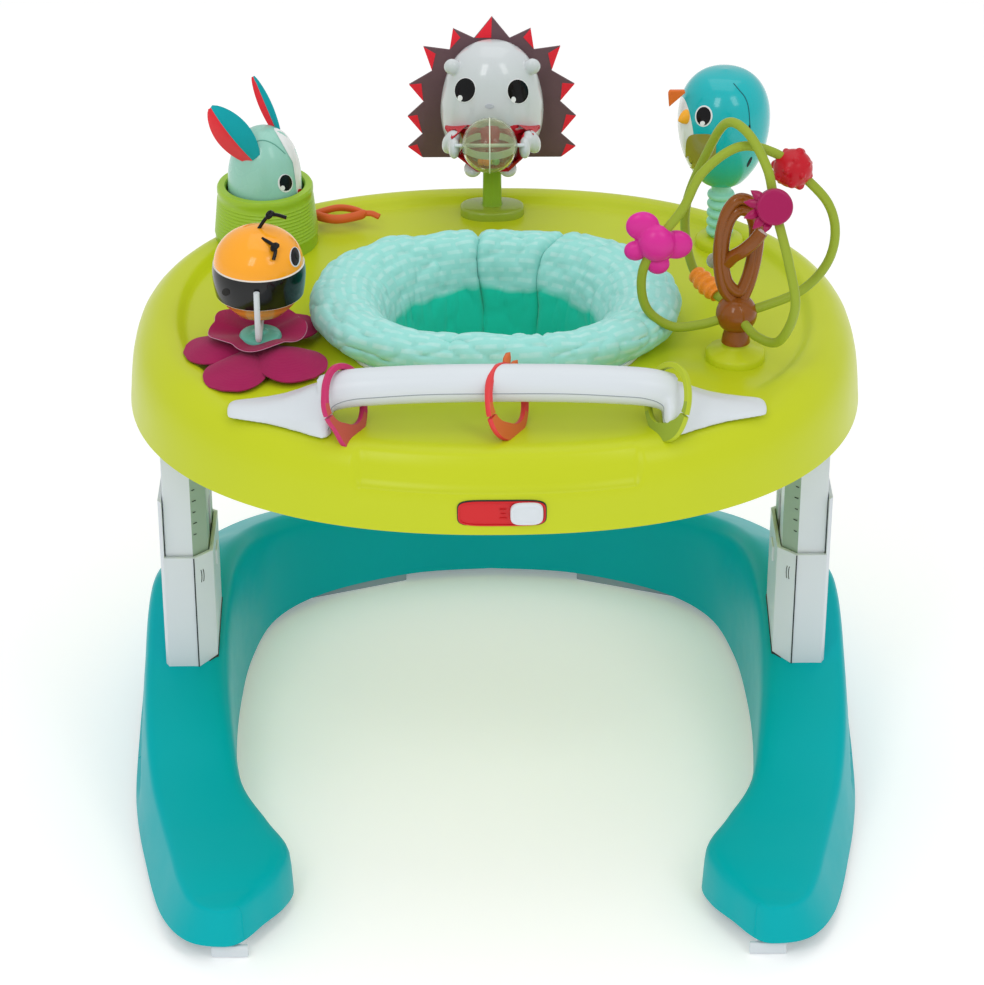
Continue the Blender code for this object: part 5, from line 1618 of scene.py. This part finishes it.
# ---------------------------------------------------------------- stage
def make_stage():
    """Pale floor, soft lamps and a white sky."""
    floor = solid("floor", [(-9, -9, -0.0005), (9, -9, -0.0005), (9, 9, -0.0005),
                            (-9, 9, -0.0005)], [(0, 1, 2, 3)],
                  plastic("floor_paint", (250, 250, 250), 0.9, 0.005))
    glow = floor.data.materials[0].node_tree.nodes["Principled BSDF"]
    glow.inputs["Emission Color"].default_value = (1.0, 1.0, 1.0, 1.0)
    glow.inputs["Emission Strength"].default_value = 0.21
    scene = bpy.context.scene
    world = bpy.data.worlds.new("studio")
    scene.world = world
    world.use_nodes = True
    back = world.node_tree.nodes["Background"]
    back.inputs["Color"].default_value = (1.0, 1.0, 1.0, 1.0)
    back.inputs["Strength"].default_value = 0.72
    rows = (("key", (-0.77, -1.75, 2.15), 0.6, 1.1, 9.0),
            ("fill", (1.11, -1.50, 2.15), 0.6, 1.1, 6.0),
            ("top", (0.1, 0.5, 2.9), 2.2, 2.2, 12.0))
    for name, place, size, height, power in rows:
        light = bpy.data.lights.new(name, "AREA")
        light.shape = "RECTANGLE"
        light.size = size
        light.size_y = height
        light.energy = power
        lamp = bpy.data.objects.new(name, light)
        lamp.location = place
        aim = Vector((0.0, 0.0, 0.35)) - Vector(place)
        lamp.rotation_mode = "QUATERNION"
        lamp.rotation_quaternion = aim.to_track_quat("-Z", "Y")
        scene.collection.objects.link(lamp)
    scene.view_settings.view_transform = "Standard"


def make_camera():
    """Camera slightly left of the centre line, 30 degrees above the floor."""
    right = Vector((math.cos(AZIMUTH), math.sin(AZIMUTH), 0.0))
    up = TOWARDS_CAMERA.cross(right)
    data = bpy.data.cameras.new("camera")
    data.sensor_width = SENSOR
    data.lens = LENS
    camera = bpy.data.objects.new("camera", data)
    camera.matrix_world = Matrix.Translation(CAMERA) @ Matrix(
        (right, up, TOWARDS_CAMERA)).transposed().to_4x4()
    bpy.context.scene.collection.objects.link(camera)
    bpy.context.scene.camera = camera


def make_palette():
    """Every finish, by a short name."""
    return {
        "teal": plastic("teal_moulding", (0, 173, 180), 0.34, 0.03, gloss=0.08),
        "lime": plastic("lime_moulding", (194, 206, 30), 0.30, 0.03, gloss=0.25),
        "white": plastic("white_moulding", (214, 221, 226), 0.30, 0.02),
        # Green grey for the posts' inner chamfer: painted reflection of the lime tray and painted
        # shade.
        "tint": plastic("post_painted_reflection", (150, 172, 152), 0.35, 0.03),
        "grey": plastic("grey_moulding", (150, 155, 158), 0.40),
        "rubber": plastic("pad_rubber_skin", (150, 164, 172), 0.70, 0.06, 0.0, 0.3),
        "steel": plastic("axle_steel", (170, 172, 175), 0.25),
        # Dark grey: painted shade in the gaps round the posts and the slider plate, and the real dark
        # height marks, seams and grip lines.
        "dark": plastic("painted_shade_and_dark_marks", (44, 52, 52), 0.60),
        "seam": plastic("bar_seam", (140, 150, 156), 0.60),
        "black": plastic("gloss_black", (6, 7, 9), 0.15, 0.02, gloss=0.25),
        "matt_black": plastic("socket_black", (10, 10, 11), 0.55),
        "mint": plastic("mint_moulding", (104, 190, 172), 0.28),
        "mint_toy": plastic("mint_egg", (150, 206, 190), 0.26, 0.03, 0.3),
        "mint_edge": plastic("mint_seam", (104, 168, 152), 0.35),
        "cup_green": plastic("green_pot", (158, 196, 52), 0.30),
        "pad_green": plastic("green_pad", (150, 170, 50), 0.22, 0.04, 0.4),
        "stem_green": plastic("green_stalk", (140, 178, 48), 0.30),
        "shell": plastic("pale_shell", (206, 212, 214), 0.18, 0.02, 0.5),
        "shell_shade": plastic("pale_shade", (184, 190, 198), 0.25),
        "white_toy": plastic("white_enamel", (236, 238, 238), 0.22, 0.01, 0.3),
        "red_toy": plastic("red_enamel", (190, 14, 34), 0.28, 0.04),
        "crimson": plastic("crimson_moulding", (198, 24, 42), 0.25, 0.04),
        "red": plastic("red_moulding", (206, 30, 36), 0.30),
        "spine": cloth("spine_felt", (106, 79, 86)),
        "spine_red": cloth("spine_tip", (242, 42, 60)),
        "flower": cloth("petal_cloth", (160, 24, 84), sheen=0.12),
        "thread": cloth("piping_cloth", (196, 140, 164), 0.05),
        "ear_teal": cloth("ear_teal_cloth", (0, 162, 172)),
        "ear_red": cloth("ear_red_cloth", (232, 48, 60)),
        "orange_soft": plastic("soft_strap", (216, 96, 42), 0.45),
        "orange": plastic("orange_moulding", (250, 150, 40), 0.25),
        "clear": clear("clear_shell", (236, 240, 214)),
        "clear_edge": plastic("clear_seam", (226, 232, 210), 0.20),
        "belt": plastic("pale_belt", (214, 222, 206), 0.25),
        "bead_orange": plastic("loose_orange", (250, 150, 40), 0.30),
        "bead_green": plastic("loose_green", (150, 200, 120), 0.30),
        "bead_yellow": plastic("loose_yellow", (214, 214, 70), 0.30),
        "bellows": plastic("bellows_mint", (152, 221, 198), 0.35),
        "bird": graded("bird_shell", (0, 176, 130), (0, 178, 184), 0.515, 0.575),
        "bird_dark": plastic("bird_seam", (0, 96, 104), 0.40),
        "window": plastic("bird_window", (150, 140, 56), 0.15, 0.15, 0.6),
        "beak": plastic("bill_orange", (246, 174, 46), 0.25),
        "crest": plastic("tuft_orange", (224, 112, 40), 0.35),
        "brown": plastic("brown_gloss", (140, 78, 20), 0.14, 0.05, 0.15),
        "tube": plastic("olive_tube", (148, 168, 44), 0.42, 0.08),
        "smoke": plastic("smoke_bead", (150, 156, 130), 0.08, 0.1, 0.6),
        "pink": plastic("pink_moulding", (216, 42, 150), 0.30),
        "magenta": plastic("magenta_moulding", (160, 12, 82), 0.30),
        "link_magenta": plastic("link_magenta_moulding", (196, 44, 104), 0.34),
        "link_magenta_in": plastic("link_magenta_face", (188, 84, 72), 0.34),
        "link_red": plastic("link_red_moulding", (222, 62, 66), 0.34),
        "link_red_in": plastic("link_red_face", (206, 104, 50), 0.34),
        "link_green": plastic("link_green_moulding", (178, 194, 42), 0.34),
        "link_green_in": plastic("link_green_face", (150, 172, 56), 0.34),
    }


def main():
    make_camera()
    palette = make_palette()
    make_base(palette["teal"], palette["dark"])
    make_running_gear(palette["white"], palette["grey"], palette["rubber"], palette["steel"])
    make_posts(palette["white"], palette["tint"], palette["dark"])
    make_tray(palette["lime"])
    make_slider(palette["red"], palette["white"], palette["dark"])
    make_push_bar(palette["white"], palette["seam"])
    make_links(palette["link_magenta"], palette["link_magenta_in"], palette["link_red"],
               palette["link_red_in"], palette["link_green"], palette["link_green_in"])
    make_seat(printed_cloth("seat_print", (156, 224, 216), (28, 208, 180), (212, 240, 237)),
              palette["mint"], palette["white"])
    make_flower(palette["flower"], palette["thread"])
    make_bee(palette)
    make_rabbit(palette)
    make_hedgehog(palette)
    make_rattle(palette)
    make_bird(palette)
    make_maze(palette)
    make_stage()


main()
